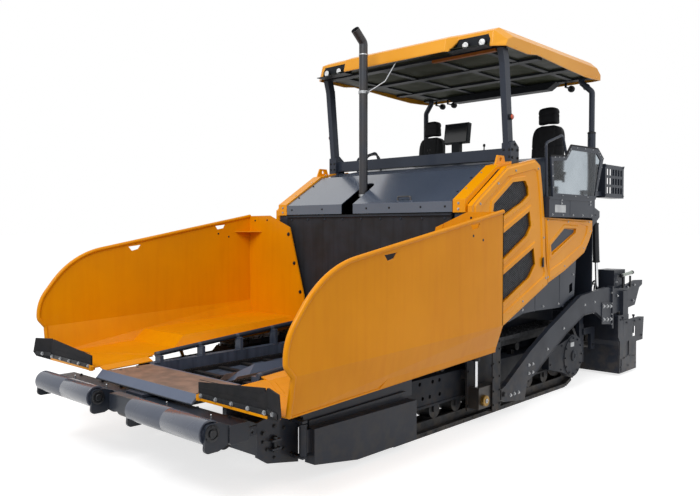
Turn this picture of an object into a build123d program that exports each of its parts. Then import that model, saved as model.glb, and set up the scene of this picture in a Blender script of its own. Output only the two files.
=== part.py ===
"""Tracked asphalt paver: tractor with hopper, operator station and canopy, and a 3 m screed on tow arms.

Millimetres, +Z up, +X to the machine's left, -Y to the front. Stations along Y are counted from the
push rollers' axis and the whole machine is moved at the end, so that the origin lies on the ground
in the middle of its length and width.
"""
from build123d import *
import math
import os

os.makedirs("parts", exist_ok=True)

# Overall stations and heights
ROLLER_R = 112
MACHINE_REAR = 7930
ORIGIN_Y = (MACHINE_REAR - ROLLER_R) / 2
FIT = 0.3
GAP = 6

# Crawler tracks
TRACK_OUTER = 1250
SHOE_W = 320
SHOE_PITCH = 171.45
SHOE_T = 34
SHOE_GAP = 9
RAIL_H = 92
RAIL_W = 34
IDLER_Y = 2200
IDLER_R = 400
SPROCKET_Y = 5750
SPROCKET_R = 434
ROLLERS = 8
ROLLER_WHEEL_R = 92
FIRST_ROLLER_Y = 2560
LAST_ROLLER_Y = 5330
CARRIER_R = 48
TRACK_FRAME_TOP = 570
TRACK_MID = TRACK_OUTER - SHOE_W / 2
RAIL_SPREAD = 150

# Main frame
SILL_IN = 800
SILL_T = 50
SILL_OUT = SILL_IN + SILL_T
FRAME_FRONT = 520
FRAME_REAR = 6200
FRAME_LOW = 300
FRAME_TOP = 690
BED_Z = 1080
BED_T = 20
PLATE = 12

# Push beam
PUSH_AXIS_Z = 622
PUSH_ROLLER_IN = 318
PUSH_ROLLER_OUT = 1330
PUSH_PIN_Y = 262
PUSH_PIN_R = 45
PUSH_BEAM_HALF = 1372
PUSH_BEAM_FRONT = 150
PUSH_BEAM_REAR = 335
PUSH_BEAM_LOW = 505
PUSH_BEAM_TOP = 650

# Conveyor
DECK_Z = 600
DECK_T = 12
CONVEYOR_IN = 90
CONVEYOR_OUT = 700
CONVEYOR_FRONT = 830
CONVEYOR_REAR = 6150
SLAT_PITCH = 305
SLAT_W = 60
SLAT_H = 26
CHAIN_W = 46
SIDE_BEAM_TOP = 752
APRON_HALF = 700
LIP_HALF = 855

# Hopper wings: the floor rises to the rear at this slope
WING_SLOPE = math.degrees(math.atan(0.0737))
WING_HINGE_X = 800
WING_FRONT = 280
WING_REAR = 3058
WING_FLOOR_Z = 775
WING_OUT = 1925
WING_T = 12
CREASE_FRONT_Z = 1065
CREASE_REAR_Z = 1143
FOOT_LEAN = 0.44
RAIL_TOP_REAR_Z = 2262
RAIL_R = 22
HINGE_PIN_R = 14
HINGE_TUBE_R = 26
WING_LUGS = 5
FLAP_T = 14

# Hood, side doors and body
HOOD_FRONT = 3130
HOOD_FOOT_Z = 2265
HOOD_LIP_Z = 2385
HOOD_KNEE_Y = 3761
HOOD_KNEE_Z = 2770
HOOD_REAR = 4040
HOOD_REAR_Z = 2838
HOOD_HALF = 1272
SHOULDER_IN = 1280
SHOULDER_OUT = 1432
SHOULDER_REAR = 4052
LID_PIN_Y = 4030
LID_PIN_Z = 2650
LID_PIN_R = 12
LID_T = 8
DOOR_IN = 1440
DOOR_OUT = 1500
DOOR_PIN_X = 1462
DOOR_PIN_Y = 3172
DOOR_HINGE_Z = (1250, 2120)
SKIRT_OUT = 1385
SKIRT_T = 6
FLOOR_Z = 2250
BODY_REAR = 6300
TRAY_IN = 1384
TRAY_OUT = 1556
TRAY_FRONT = 4712
TRAY_REAR = 5935
TRAY_H = 225

# Engine and exhaust pipe
ENGINE_TOP = 2080
PIPE_X = -222
PIPE_Y = 3420
PIPE_R = 52
PIPE_TOP = 4330
SLOT_HALF = 92

# Canopy
ROOF_HALF = 1450
ROOF_FRONT = 3835
ROOF_REAR = 6420
ROOF_LOW = 4110
ROOF_TOP = 4300
ROOF_T = 20
POST_X = 1350

# Tow point, tow arms and screed
TOW_Y = 3870
TOW_Z = 262
TOW_PIN_R = 24
FORK_IN = 1316
LUG_IN = 1344
LUG_OUT = 1392
ARM_IN = 1400
ARM_OUT = 1460
LEVEL_ROD_Y = TOW_Y - 435
GUIDE_FRONT = TOW_Y - 230
GUIDE_REAR = TOW_Y - 70
LEVEL_X = 1376
LEVEL_ROD_R = 20
LEVEL_BARREL_R = 40
LIFT_X = 1334
LIFT_EYE_Y = 6560
LIFT_EYE_Z = 1190
LIFT_PIVOT_Y = 6470
LIFT_PIVOT_Z = 2290
LIFT_ROD_R = 22
LIFT_BARREL_R = 46
SCREED_HALF = 1500
SCREED_FRONT = 6945
SCREED_REAR = 7570
SCREED_LOW = 34
SCREED_TOP = 858
AUGER_Y = 6690
AUGER_Z = 450
AUGER_R = 185
AUGER_SHAFT_R = 45
AUGER_STUB_R = 25
AUGER_IN = 130
AUGER_OUT = 1170


def slab(axis, outline, low, high, corner=0):
    """A plate across one axis: outline (Y, Z), (X, Z) or (X, Y), from low to high."""
    face = make_face(Polyline(*outline, close=True))
    if corner:
        face = fillet(face.vertices(), corner)
    if axis == "X":
        return extrude(Plane.YZ.offset(low) * face, amount=high - low, dir=(1, 0, 0))
    if axis == "Y":
        plane = Plane(origin=(0, low, 0), x_dir=(1, 0, 0), z_dir=(0, -1, 0))
        return extrude(plane * face, amount=high - low, dir=(0, 1, 0))
    return extrude(Plane.XY.offset(low) * face, amount=high - low, dir=(0, 0, 1))


def block(x0, x1, y0, y1, z0, z1):
    """A box between three pairs of faces."""
    return Pos(x0, y0, z0) * Box(x1 - x0, y1 - y0, z1 - z0, align=(Align.MIN, Align.MIN, Align.MIN))


def rod(start, end, radius):
    """A round bar from one centre to another."""
    line = Vector(end) - Vector(start)
    foot = (Align.CENTER, Align.CENTER, Align.MIN)
    return Plane(origin=start, z_dir=line) * Cylinder(radius, line.length, align=foot)


def disc(x0, x1, y, z, radius):
    """A round piece whose axis runs across the machine."""
    return rod((x0, y, z), (x1, y, z), radius)


def pipe(points, radius, bend):
    """A round bar along straight runs with equal bends."""
    path = FilletPolyline(*points, radius=bend)
    return sweep(Plane(path ^ 0) * Circle(radius), path=path)


def pair(shape):
    """The left piece and its mirror image on the right."""
    return [shape, mirror(shape, about=Plane.YZ)]


def save(name, *shapes):
    """Write the solids of one node, moved to the machine's origin."""
    solids = [solid for shape in shapes for solid in shape.solids()]
    node = solids[0] if len(solids) == 1 else Compound(solids)
    export_step(Pos(0, -ORIGIN_Y, 0) * node, f"parts/{name}.step")


def track_pins():
    """Chain pins round the loop at equal steps, with the way each link points."""
    rise = SPROCKET_R - IDLER_R
    run = SPROCKET_Y - IDLER_Y
    lean = math.asin(rise / math.hypot(run, rise))
    pitch_idler = IDLER_R - SHOE_T - RAIL_H / 2
    pitch_sprocket = SPROCKET_R - SHOE_T - RAIL_H / 2
    top_run = math.hypot(run, rise) * math.cos(lean)
    front_turn = pitch_idler * (math.pi - lean)
    rear_turn = pitch_sprocket * (math.pi + lean)
    total = run + rear_turn + top_run + front_turn
    count = round(total / SHOE_PITCH)

    def at(distance):
        if distance < run:
            return IDLER_Y + distance, IDLER_R - pitch_idler
        distance -= run
        if distance < rear_turn:
            turn = distance / pitch_sprocket - math.pi / 2
            return (SPROCKET_Y + pitch_sprocket * math.cos(turn),
                    SPROCKET_R + pitch_sprocket * math.sin(turn))
        distance -= rear_turn
        if distance < top_run:
            share = distance / top_run
            y_rear = SPROCKET_Y - pitch_sprocket * math.sin(lean)
            z_rear = SPROCKET_R + pitch_sprocket * math.cos(lean)
            y_front = IDLER_Y - pitch_idler * math.sin(lean)
            z_front = IDLER_R + pitch_idler * math.cos(lean)
            return y_rear + (y_front - y_rear) * share, z_rear + (z_front - z_rear) * share
        distance -= top_run
        turn = math.pi / 2 + lean + distance / pitch_idler
        return IDLER_Y + pitch_idler * math.cos(turn), IDLER_R + pitch_idler * math.sin(turn)

    return [at(total * i / count) for i in range(count)]


def track_loop():
    """One endless track: flat shoes on two chain rails, cut from two outlines."""
    pins = track_pins()
    half = RAIL_H / 2
    shoes = []
    for i, (y0, z0) in enumerate(pins):
        y1, z1 = pins[(i + 1) % len(pins)]
        length = math.hypot(y1 - y0, z1 - z0)
        ay, az = (y1 - y0) / length, (z1 - z0) / length
        ny, nz = az, -ay
        cut = SHOE_GAP / 2
        for along, out in ((cut, half), (cut, half + SHOE_T), (length - cut, half + SHOE_T), (length - cut, half)):
            shoes.append((y0 + ay * along + ny * out, z0 + az * along + nz * out))
    x0, x1 = TRACK_OUTER - SHOE_W, TRACK_OUTER
    track = slab("X", shoes, x0, x1) - slab("X", offset_loop(pins, half - 10), x0, x1)
    for middle in (TRACK_MID - RAIL_SPREAD / 2, TRACK_MID + RAIL_SPREAD / 2):
        low, high = middle - RAIL_W / 2, middle + RAIL_W / 2
        track += slab("X", offset_loop(pins, half - 9), low, high) - slab("X", offset_loop(pins, -half), low, high)
    return track


def offset_loop(pins, out):
    """The chain line moved outwards by a distance, with mitred corners at the pins."""
    loop = []
    for i, (y1, z1) in enumerate(pins):
        y0, z0 = pins[i - 1]
        y2, z2 = pins[(i + 1) % len(pins)]
        before = math.hypot(y1 - y0, z1 - z0)
        after = math.hypot(y2 - y1, z2 - z1)
        ny0, nz0 = (z1 - z0) / before, -(y1 - y0) / before
        ny1, nz1 = (z2 - z1) / after, -(y2 - y1) / after
        share = out / (1 + ny0 * ny1 + nz0 * nz1)
        loop.append((y1 + (ny0 + ny1) * share, z1 + (nz0 + nz1) * share))
    return loop


def wheel_radius(outer_radius):
    """Radius of a wheel that the chain rails bend round, inside a turn of the given outer radius."""
    pitch_radius = outer_radius - SHOE_T - RAIL_H / 2
    return math.sqrt(pitch_radius ** 2 - (SHOE_PITCH / 2) ** 2) - RAIL_H / 2 - FIT


def track_top(y):
    """Height of the shoes' outer face on the top run."""
    share = (y - IDLER_Y) / (SPROCKET_Y - IDLER_Y)
    return 2 * (IDLER_R + (SPROCKET_R - IDLER_R) * share)


def track_frame():
    """Roller frame of one side: a box with two hanging side plates and their holes."""
    x_in, x_out = TRACK_MID - 108, TRACK_MID + 108
    front, rear = IDLER_Y + 330, SPROCKET_Y - 340
    frame = block(x_in, x_out, front, rear, 420, TRACK_FRAME_TOP)
    for x in (x_in, x_out - PLATE):
        frame += slab("X", [(IDLER_Y - 50, 340), (front, 270), (rear, 270), (rear, TRACK_FRAME_TOP),
                            (front, TRACK_FRAME_TOP), (front, 480),
                            (IDLER_Y - 50, 460)], x, x + PLATE, 20)
    frame += block(x_out, x_out + 14, front + 20, rear - 20, 270, 292)
    for y, z in ((2680, 521), (2900, 518), (3020, 518), (2730, 370), (2850, 370), (3025, 370)):
        frame -= disc(x_out - 40, x_out + 20, y, z, 22)
    for y in (IDLER_Y + 700, SPROCKET_Y - 700):
        frame += block(SILL_OUT, x_in, y, y + 220, 430, TRACK_FRAME_TOP - 10)
    for y in roller_stations():
        for x in (x_in, x_out - PLATE):
            frame += block(x, x + PLATE, y - 36, y + 36, 196, 275)
    return frame


def roller_stations():
    """Where the track rollers stand along the frame."""
    step = (LAST_ROLLER_Y - FIRST_ROLLER_Y) / (ROLLERS - 1)
    return [FIRST_ROLLER_Y + i * step for i in range(ROLLERS)]


def track_wheels():
    """Idler, sprocket, track rollers and carrier rollers of one side, each a separate solid."""
    wheels = []
    inner = TRACK_MID - 90
    outer = TRACK_MID + 90
    idler_r = wheel_radius(IDLER_R)
    idler = disc(inner + 20, outer - 20, IDLER_Y, IDLER_R, idler_r)
    idler += disc(TRACK_MID - 40, TRACK_MID + 40, IDLER_Y, IDLER_R, idler_r + 24)
    idler -= disc(outer - 60, outer, IDLER_Y, IDLER_R, idler_r - 60)
    idler += disc(outer - 62, outer + 6, IDLER_Y, IDLER_R, 70)
    wheels.append(idler)
    sprocket_r = wheel_radius(SPROCKET_R)
    sprocket = disc(TRACK_MID - 38, TRACK_MID + 38, SPROCKET_Y, SPROCKET_R, sprocket_r)
    sprocket += disc(TRACK_MID - 30, TRACK_OUTER + 20, SPROCKET_Y, SPROCKET_R, 170)
    sprocket += disc(SILL_OUT, TRACK_MID, SPROCKET_Y, SPROCKET_R, 150)
    wheels.append(sprocket)
    roller_z = SHOE_T + RAIL_H + ROLLER_WHEEL_R + FIT
    for y in roller_stations():
        wheels.append(disc(inner, outer, y, roller_z, ROLLER_WHEEL_R) + disc(inner - 6, outer + 6, y, roller_z, 34))
    for y in (IDLER_Y + 900, SPROCKET_Y - 1100):
        z = track_top(y) - SHOE_T - RAIL_H - CARRIER_R - 4
        wheels.append(disc(inner, outer, y, z, CARRIER_R) + block(TRACK_MID - 26, TRACK_MID + 26, y - 30, y + 30, TRACK_FRAME_TOP, z))
    return wheels


def drive_cover():
    """Case outside one track's rear end: a box run into a round cover over the final drive."""
    outline = [(5090, 345), (5090, 575), (5470, 640), (SPROCKET_Y, 700), (SPROCKET_Y, 170), (5440, 262)]
    case = slab("X", outline, TRACK_OUTER + 24, 1370) + disc(TRACK_OUTER + 24, 1372, SPROCKET_Y, SPROCKET_R, 275)
    case = case + disc(1372, 1380, SPROCKET_Y, SPROCKET_R, 255)
    case -= disc(TRACK_OUTER + 24, TRACK_OUTER + 60, SPROCKET_Y, SPROCKET_R, 200)
    case += disc(TRACK_OUTER + 20, TRACK_OUTER + 70, SPROCKET_Y, SPROCKET_R, 120)
    return case


def main_frame():
    """Sills, cross members, front cheeks and engine bed, welded together."""
    sill = [(FRAME_FRONT, 330), (FRAME_FRONT + 120, FRAME_LOW), (FRAME_REAR, FRAME_LOW), (FRAME_REAR, BED_Z),
            (HOOD_FRONT + 60, BED_Z), (HOOD_FRONT + 60, FRAME_TOP), (FRAME_FRONT, FRAME_TOP)]
    frame = Part()
    for side in pair(slab("X", sill, SILL_IN, SILL_OUT)):
        frame += side
    frame += block(-SILL_IN, SILL_IN, FRAME_FRONT, FRAME_FRONT + 110, 330, DECK_Z - 90)
    frame += slab("Y", [(-200, 440), (200, 440), (120, 620), (-120, 620)], 400, FRAME_FRONT)
    frame += disc(-SILL_IN, SILL_IN, FRAME_FRONT + 20, 340, 75)
    for y in (IDLER_Y + 700, SPROCKET_Y - 700):
        frame += block(-SILL_IN, SILL_IN, y, y + 220, 430, DECK_Z - 70)
    frame += block(-1250, 1250, HOOD_FRONT + 60, BODY_REAR, BED_Z, BED_Z + BED_T)
    frame += block(-SILL_IN, SILL_IN, FRAME_REAR - 20, FRAME_REAR, FRAME_LOW, DECK_Z - 70)
    post = block(1150, 1200, BODY_REAR, BODY_REAR + 120, 620, BED_Z + BED_T) + block(
        1150, 1200, BODY_REAR - 120, BODY_REAR + 120, BED_Z, BED_Z + BED_T)
    for side in pair(post + slab("X", [(6310, 240), (6440, 240), (6440, 760), (6310, 700)], 1150, 1200)):
        frame += side
    return frame


def front_cheek():
    """Box of plates outside the sill's front end, with the tow eye and clevis and the guard's lugs."""
    outline = [(540, 284), (646, 215), (985, 152), (985, 560), (700, 600), (540, 560)]
    cheek = slab("X", outline, 1190, 1215) + block(SILL_OUT, 1215, 960, 985, 240, 560)
    cheek += block(SILL_OUT, 1215, 540, 565, 300, 560)
    return cheek + tow_lug() + guard_pin()


def skirt_rail():
    """Upright plate over the track's front that closes the gap under the wing, and its bracket."""
    plate = slab("X", [(985, 470), (2450, 470), (2450, 690), (985, 650)], 1262, 1274)
    return plate + block(1215, 1274, 960, 985, 540, 640)


def tow_lug():
    """Front tow eye and the clevis beside it."""
    eye = slab("X", [(455, 470), (560, 470), (560, 545), (455, 545)], 1192, 1213, 20)
    eye -= disc(1180, 1230, 490, 508, 18)
    for z in (322, 392):
        eye += block(1215, 1262, 660, 760, z, z + 14)
    return eye


def push_beam():
    """Beam across the front that swings on its centre pin, with ears for both rollers."""
    beam = block(-PUSH_BEAM_HALF, PUSH_BEAM_HALF, PUSH_BEAM_FRONT, PUSH_BEAM_REAR, PUSH_BEAM_LOW, PUSH_BEAM_TOP)
    beam = chamfer(beam.edges().filter_by(Axis.X), 14)
    beam += block(-200, 200, 60, PUSH_BEAM_FRONT + 20, 520, 660)
    ear = [(-70, 480), (60, 480), (160, 520), (160, 655), (60, 690), (-50, 690)]
    for x0, x1 in ((PUSH_ROLLER_OUT + GAP, PUSH_ROLLER_OUT + GAP + 24), (PUSH_ROLLER_IN - GAP - 24, PUSH_ROLLER_IN - GAP)):
        plate = slab("X", ear, x0, x1, 38)
        for side in pair(plate):
            beam += side
    for side in pair(disc(PUSH_ROLLER_IN - GAP - 20, PUSH_ROLLER_OUT + GAP + 20, 0, PUSH_AXIS_Z, 28)):
        beam += side
    beam -= rod((0, PUSH_PIN_Y, 300), (0, PUSH_PIN_Y, 800), PUSH_PIN_R + FIT)
    return beam


def push_pin():
    """Vertical pin and its two carrier plates on the main frame."""
    plates = Part()
    for z0, z1 in ((PUSH_BEAM_LOW - GAP - 30, PUSH_BEAM_LOW - GAP), (PUSH_BEAM_TOP + GAP, PUSH_BEAM_TOP + GAP + 22)):
        plates += slab("Z", [(-130, 180), (130, 180), (200, FRAME_FRONT), (-200, FRAME_FRONT)], z0, z1)
    plates += block(-200, 200, 420, FRAME_FRONT, PUSH_BEAM_LOW - GAP - 30, PUSH_BEAM_TOP + GAP + 22)
    pin = rod((0, PUSH_PIN_Y, PUSH_BEAM_LOW - 60), (0, PUSH_PIN_Y, PUSH_BEAM_TOP + GAP + 22), PUSH_PIN_R)
    return plates + pin


def push_roller():
    """One truck push roller on its fixed shaft."""
    roller = disc(PUSH_ROLLER_IN, PUSH_ROLLER_OUT, 0, PUSH_AXIS_Z, ROLLER_R)
    roller -= disc(PUSH_ROLLER_IN, PUSH_ROLLER_OUT, 0, PUSH_AXIS_Z, 28 + FIT)
    for x0, x1 in ((PUSH_ROLLER_IN, PUSH_ROLLER_IN + 12), (PUSH_ROLLER_OUT - 12, PUSH_ROLLER_OUT)):
        roller -= disc(x0, x1, 0, PUSH_AXIS_Z, ROLLER_R - 14) - disc(x0, x1, 0, PUSH_AXIS_Z, 50)
    return roller


def conveyor_deck():
    """Fixed conveyor floor, side beams under the wings and the hinge lugs with their pins."""
    deck = block(-SILL_IN, SILL_IN, CONVEYOR_FRONT - 60, CONVEYOR_REAR, DECK_Z - DECK_T, DECK_Z)
    beam = block(CONVEYOR_OUT + 12, SILL_IN, CONVEYOR_FRONT, HOOD_FRONT + 50, DECK_Z, SIDE_BEAM_TOP)
    for side in pair(beam):
        deck += side
    for side in pair(wing_hinge_carrier()):
        deck += side
    return deck


def wing_place(shape):
    """Move a piece drawn on a level wing floor to the sloping floor at the hinge's front end."""
    return Pos(0, WING_FRONT, WING_FLOOR_Z) * Rot(WING_SLOPE, 0, 0) * shape


def lug_stations():
    """Ends of each fixed hinge lug along the wing hinge, on the level wing."""
    length = (WING_REAR - WING_FRONT) / math.cos(math.radians(WING_SLOPE))
    first = 620
    step = (length - first - 120) / (WING_LUGS - 1)
    return [(first + i * step, first + i * step + 40) for i in range(WING_LUGS)]


def wing_hinge_carrier():
    """Left wing's hinge pin in five lugs that stand on the side beam."""
    lugs = lug_stations()
    carrier = rod((WING_HINGE_X, lugs[0][0], 0), (WING_HINGE_X, lugs[-1][1], 0), HINGE_PIN_R)
    for start, end in lugs:
        carrier += rod((WING_HINGE_X, start, 0), (WING_HINGE_X, end, 0), HINGE_TUBE_R)
    carrier = wing_place(carrier)
    for start, end in lugs:
        y = WING_FRONT + (start + end) / 2 * math.cos(math.radians(WING_SLOPE))
        z = WING_FLOOR_Z + (start + end) / 2 * math.sin(math.radians(WING_SLOPE))
        carrier += block(CONVEYOR_OUT + 12, WING_HINGE_X + 8, y - 19, y + 19, SIDE_BEAM_TOP - 5, z - 10)
    return carrier


def conveyor_chains():
    """Both slat conveyors: chains at their sides and slats across, on the deck."""
    rows = int((CONVEYOR_REAR - CONVEYOR_FRONT - 200) / SLAT_PITCH)
    low, high = CONVEYOR_IN + 20, CONVEYOR_OUT - 20
    belt = Part()
    for x in (low, high - CHAIN_W):
        belt += block(x, x + CHAIN_W, CONVEYOR_FRONT + 40, CONVEYOR_REAR - 100, DECK_Z + FIT, DECK_Z + 40)
    for i in range(rows):
        y = CONVEYOR_FRONT + 110 + i * SLAT_PITCH
        belt += block(low, high, y, y + SLAT_W, DECK_Z + FIT, DECK_Z + SLAT_H)
    return pair(belt)


def conveyor_ridge():
    """Peaked guard over the middle of the conveyor with its sloping nose."""
    ridge = [(-CONVEYOR_IN, DECK_Z), (CONVEYOR_IN, DECK_Z), (CONVEYOR_IN, DECK_Z + 70), (0, SIDE_BEAM_TOP - 10),
             (-CONVEYOR_IN, DECK_Z + 70)]
    guard = slab("Y", ridge, CONVEYOR_FRONT + 400, CONVEYOR_REAR - 100)
    nose = [(CONVEYOR_FRONT + 300, DECK_Z - 10), (CONVEYOR_FRONT + 400, DECK_Z - 10),
            (CONVEYOR_FRONT + 720, SIDE_BEAM_TOP), (CONVEYOR_FRONT + 400, SIDE_BEAM_TOP)]
    return guard - slab("X", nose, -CONVEYOR_IN - 10, CONVEYOR_IN + 10)


def hopper_apron():
    """Worn centre plate in front of the conveyor, with its lip bent down over the push beam."""
    plate = slab("X", [(232, 758), (232, 770), (790, 754), (790, 742)], -APRON_HALF, APRON_HALF)
    lip = slab("X", [(150, 712), (162, 706), (240, 757), (240, 770), (228, 784)], -LIP_HALF, LIP_HALF)
    foot = block(-APRON_HALF, APRON_HALF, 772, 790, DECK_Z, 750)
    leg = block(-180, 180, 430, 450, PUSH_BEAM_TOP + GAP + 22, 764)
    return plate + lip + foot + leg


def hopper_back():
    """Dark wall behind the hopper, open below for the two conveyors."""
    outline = [(-1262, 1040), (-CONVEYOR_OUT - 12, 1040), (-CONVEYOR_OUT - 12, 1010), (CONVEYOR_OUT + 12, 1010),
               (CONVEYOR_OUT + 12, 1040), (1262, 1040), (1262, HOOD_FOOT_Z - 4), (-1262, HOOD_FOOT_Z - 4)]
    wall = slab("Y", outline, HOOD_FRONT, HOOD_FRONT + PLATE)
    wall += block(-1262, 1262, HOOD_FRONT, HOOD_FRONT + 90, BED_Z + BED_T, BED_Z + BED_T + PLATE)
    wall += block(-1262, 1262, HOOD_FRONT, HOOD_FRONT + 40, HOOD_FOOT_Z - 44, HOOD_FOOT_Z - 4)
    return wall


def wing_shell():
    """One hopper wing: floor, leaning lower panel, outer wall with rolled rail, and rear flap."""
    length = (WING_REAR - WING_FRONT) / math.cos(math.radians(WING_SLOPE))
    foot_x = WING_OUT - (CREASE_FRONT_Z - WING_FLOOR_Z) * FOOT_LEAN
    rear_floor = WING_FLOOR_Z + math.tan(math.radians(WING_SLOPE)) * (WING_REAR - WING_FRONT)
    foot_rear_x = WING_OUT - (CREASE_REAR_Z - rear_floor) * FOOT_LEAN
    floor = slab("Z", [(WING_HINGE_X + HINGE_TUBE_R + GAP, 0), (foot_x + 8, 0), (foot_rear_x + 8, length),
                       (WING_HINGE_X + HINGE_TUBE_R + GAP, length)], -WING_T, 0)
    floor += slab("Z", [(WING_HINGE_X - 80, 0), (WING_HINGE_X + 40, 0), (WING_HINGE_X + 40, 540),
                        (WING_HINGE_X - 10, 530)], -WING_T, 0)
    lugs = lug_stations()
    for (_, start), (end, _) in zip(lugs[:-1], lugs[1:]):
        knuckle = rod((WING_HINGE_X, start + GAP, 0), (WING_HINGE_X, end - GAP, 0), HINGE_TUBE_R)
        knuckle += block(WING_HINGE_X, WING_HINGE_X + HINGE_TUBE_R + GAP + 1, start + GAP, end - GAP, -WING_T, 0)
        knuckle -= rod((WING_HINGE_X, start, 0), (WING_HINGE_X, end, 0), HINGE_PIN_R + FIT)
        floor += knuckle
    floor += wing_floor_cover(length)
    floor += block(870, 1785, -28, 2, -WING_T - 18, 0)
    wing = wing_place(floor)
    foot_front = (foot_x, WING_FRONT, WING_FLOOR_Z)
    crease_rear = (WING_OUT, WING_REAR, CREASE_REAR_Z)
    for corner in ((WING_OUT, WING_FRONT, CREASE_FRONT_Z), (foot_rear_x, WING_REAR, rear_floor)):
        lower = Face(Wire.make_polygon([foot_front, corner, crease_rear]))
        wing += extrude(lower, amount=WING_T, dir=(-1, 0, 0))
    edge, radii = wing_edge()
    wall = make_face(Polyline(*edge, (WING_REAR, CREASE_REAR_Z), close=True))
    corners = sorted(wall.vertices(), key=lambda v: v.X)
    wall = fillet([v for v in corners if 600 < v.X < 900], radii[0])
    wall = fillet([v for v in wall.vertices() if v.X < 250 and v.Y > 1300], radii[1])
    wing += extrude(Plane.YZ.offset(WING_OUT - WING_T) * wall, amount=WING_T, dir=(1, 0, 0))
    wing += wing_rail()
    flap = [(WING_OUT, CREASE_REAR_Z), (WING_OUT, RAIL_TOP_REAR_Z), (1558, RAIL_TOP_REAR_Z), (1131, 2095),
            (998, 1307), (930, rear_floor - 8), (foot_rear_x - 4, rear_floor - 8)]
    wing += slab("Y", flap, WING_REAR - WING_T, WING_REAR)
    wing += slab("Z", [(WING_OUT, WING_REAR), (WING_OUT, WING_REAR - 260), (WING_OUT - 260, WING_REAR)], 2050, 2060)
    return wing


def wing_edge():
    """Corners of the outer wall's edge (Y, Z) from the rear top round the nose, and its two bend radii."""
    edge = [(WING_REAR, RAIL_TOP_REAR_Z), (700, 1826), (205, 1360), (205, 1150), (WING_FRONT, CREASE_FRONT_Z)]
    return edge, (260, 180)


def wing_rail():
    """Rolled rail along the wall's edge, bent round the nose."""
    edge, radii = wing_edge()
    x = WING_OUT - WING_T / 2
    path = FilletPolyline(*[(x, y, z) for y, z in edge], radius=[radii[0], radii[1], 60])
    rail = sweep(Plane(path ^ 0) * Circle(RAIL_R), path=path)
    foot_x = WING_OUT - (CREASE_FRONT_Z - WING_FLOOR_Z) * FOOT_LEAN
    return rail + rod((x, WING_FRONT, CREASE_FRONT_Z), (foot_x, WING_FRONT, WING_FLOOR_Z), RAIL_R)


def wing_floor_cover(length):
    """Raised cover on the wing floor over the folding cylinder, on the level wing."""
    side = [(880, -WING_T), (1060, 110), (length, 110), (length, -WING_T)]
    cross = [(1010, -WING_T), (1100, 110), (1600, 110), (1690, -WING_T)]
    cover = slab("X", side, 1010, 1690) & slab("Y", cross, 880, length)
    hollow_side = [(895, -WING_T - 1), (1066, 100), (length - 12, 100), (length - 12, -WING_T - 1)]
    hollow_cross = [(1022, -WING_T - 1), (1106, 100), (1594, 100), (1678, -WING_T - 1)]
    return cover - (slab("X", hollow_side, 1010, 1690) & slab("Y", hollow_cross, 880, length))


def wing_flap():
    """Rubber flap that closes the wing's front edge."""
    low = WING_FLOOR_Z - 30
    flap = [(870, low), (1790, low), (1892, 985), (1800, 1010), (880, 900)]
    back = WING_FRONT - 28
    return slab("Y", flap, back - FLAP_T, back) - slab(
        "Y", [(1745, 1030), (1760, 940), (1775, 1030)], back - FLAP_T - 5, back + 5)


WING_EYE = (1200, 1450)
WING_EYE_DROP = 70
WING_FOOT = (960, 300)


def wing_lugs():
    """Two lugs under one wing's floor that the folding cylinder's eye stands between."""
    lean = math.radians(WING_SLOPE)
    middle = (WING_EYE[1] - WING_FRONT) / math.cos(lean) - WING_EYE_DROP * math.sin(lean)
    low = -WING_EYE_DROP - 40
    x = WING_EYE[0]
    return [wing_place(slab("Y", [(x - 75, -WING_T), (x - 36, low), (x + 36, low), (x + 75, -WING_T)],
                            start, start + 12)) for start in (middle - 52, middle + 40)]


def wing_axis():
    """Direction of the wing hinge, which the folding cylinder's pins follow."""
    lean = math.radians(WING_SLOPE)
    return Vector(0, math.cos(lean), math.sin(lean))


def wing_cylinder():
    """Wing folding cylinder: barrel on its frame pin, and rod up to the wing's lugs."""
    y = WING_EYE[1]
    floor_z = WING_FLOOR_Z + math.tan(math.radians(WING_SLOPE)) * (y - WING_FRONT)
    eye = Vector(WING_EYE[0], y, floor_z - WING_EYE_DROP)
    foot = Vector(WING_FOOT[0], y + (floor_z - WING_FOOT[1]) * 0.0737, WING_FOOT[1])
    line = (eye - foot).normalized()
    axis = wing_axis()
    barrel = rod(foot + line * 20, foot + line * 430, 42) + rod(foot - axis * 30, foot + axis * 30, 40)
    barrel -= rod(foot - axis * 60, foot + axis * 60, 16 + FIT)
    barrel -= rod(foot + line * 70, foot + line * 440, 24 + FIT)
    bar = rod(foot + line * 75, eye, 24) + rod(eye - axis * 24, eye + axis * 24, 34)
    return barrel, bar, foot, eye


def wing_cylinder_foot():
    """Frame bracket and pin of one wing cylinder."""
    _, _, foot, _ = wing_cylinder()
    bracket = rod(foot - wing_axis() * 60, foot + wing_axis() * 60, 16)
    for y in (-66, 54):
        bracket += block(SILL_OUT, foot.X + 40, foot.Y + y, foot.Y + y + 12, foot.Z - 45, foot.Z + 45)
    return bracket


def hood_shoulder():
    """Yellow shoulder beside the hood, bent over the body's edge, with its lifting eye."""
    top = [(HOOD_FRONT, HOOD_FOOT_Z), (HOOD_FRONT, HOOD_LIP_Z + 15), (HOOD_KNEE_Y, HOOD_KNEE_Z + 21),
           (SHOULDER_REAR, 2850), (SHOULDER_REAR, 2800), (HOOD_KNEE_Y, HOOD_KNEE_Z - 30),
           (HOOD_FRONT + 50, HOOD_LIP_Z - 30), (HOOD_FRONT + 50, HOOD_FOOT_Z)]
    shoulder = slab("X", top, SHOULDER_IN, SHOULDER_OUT)
    eye = slab("X", [(3780, 2790), (3990, 2820), (3960, 2905), (3830, 2905)], 1372, 1392)
    eye -= disc(1360, 1400, 3890, 2862, 24)
    return shoulder + eye


LID_HINGES = (-900, 900)


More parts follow.
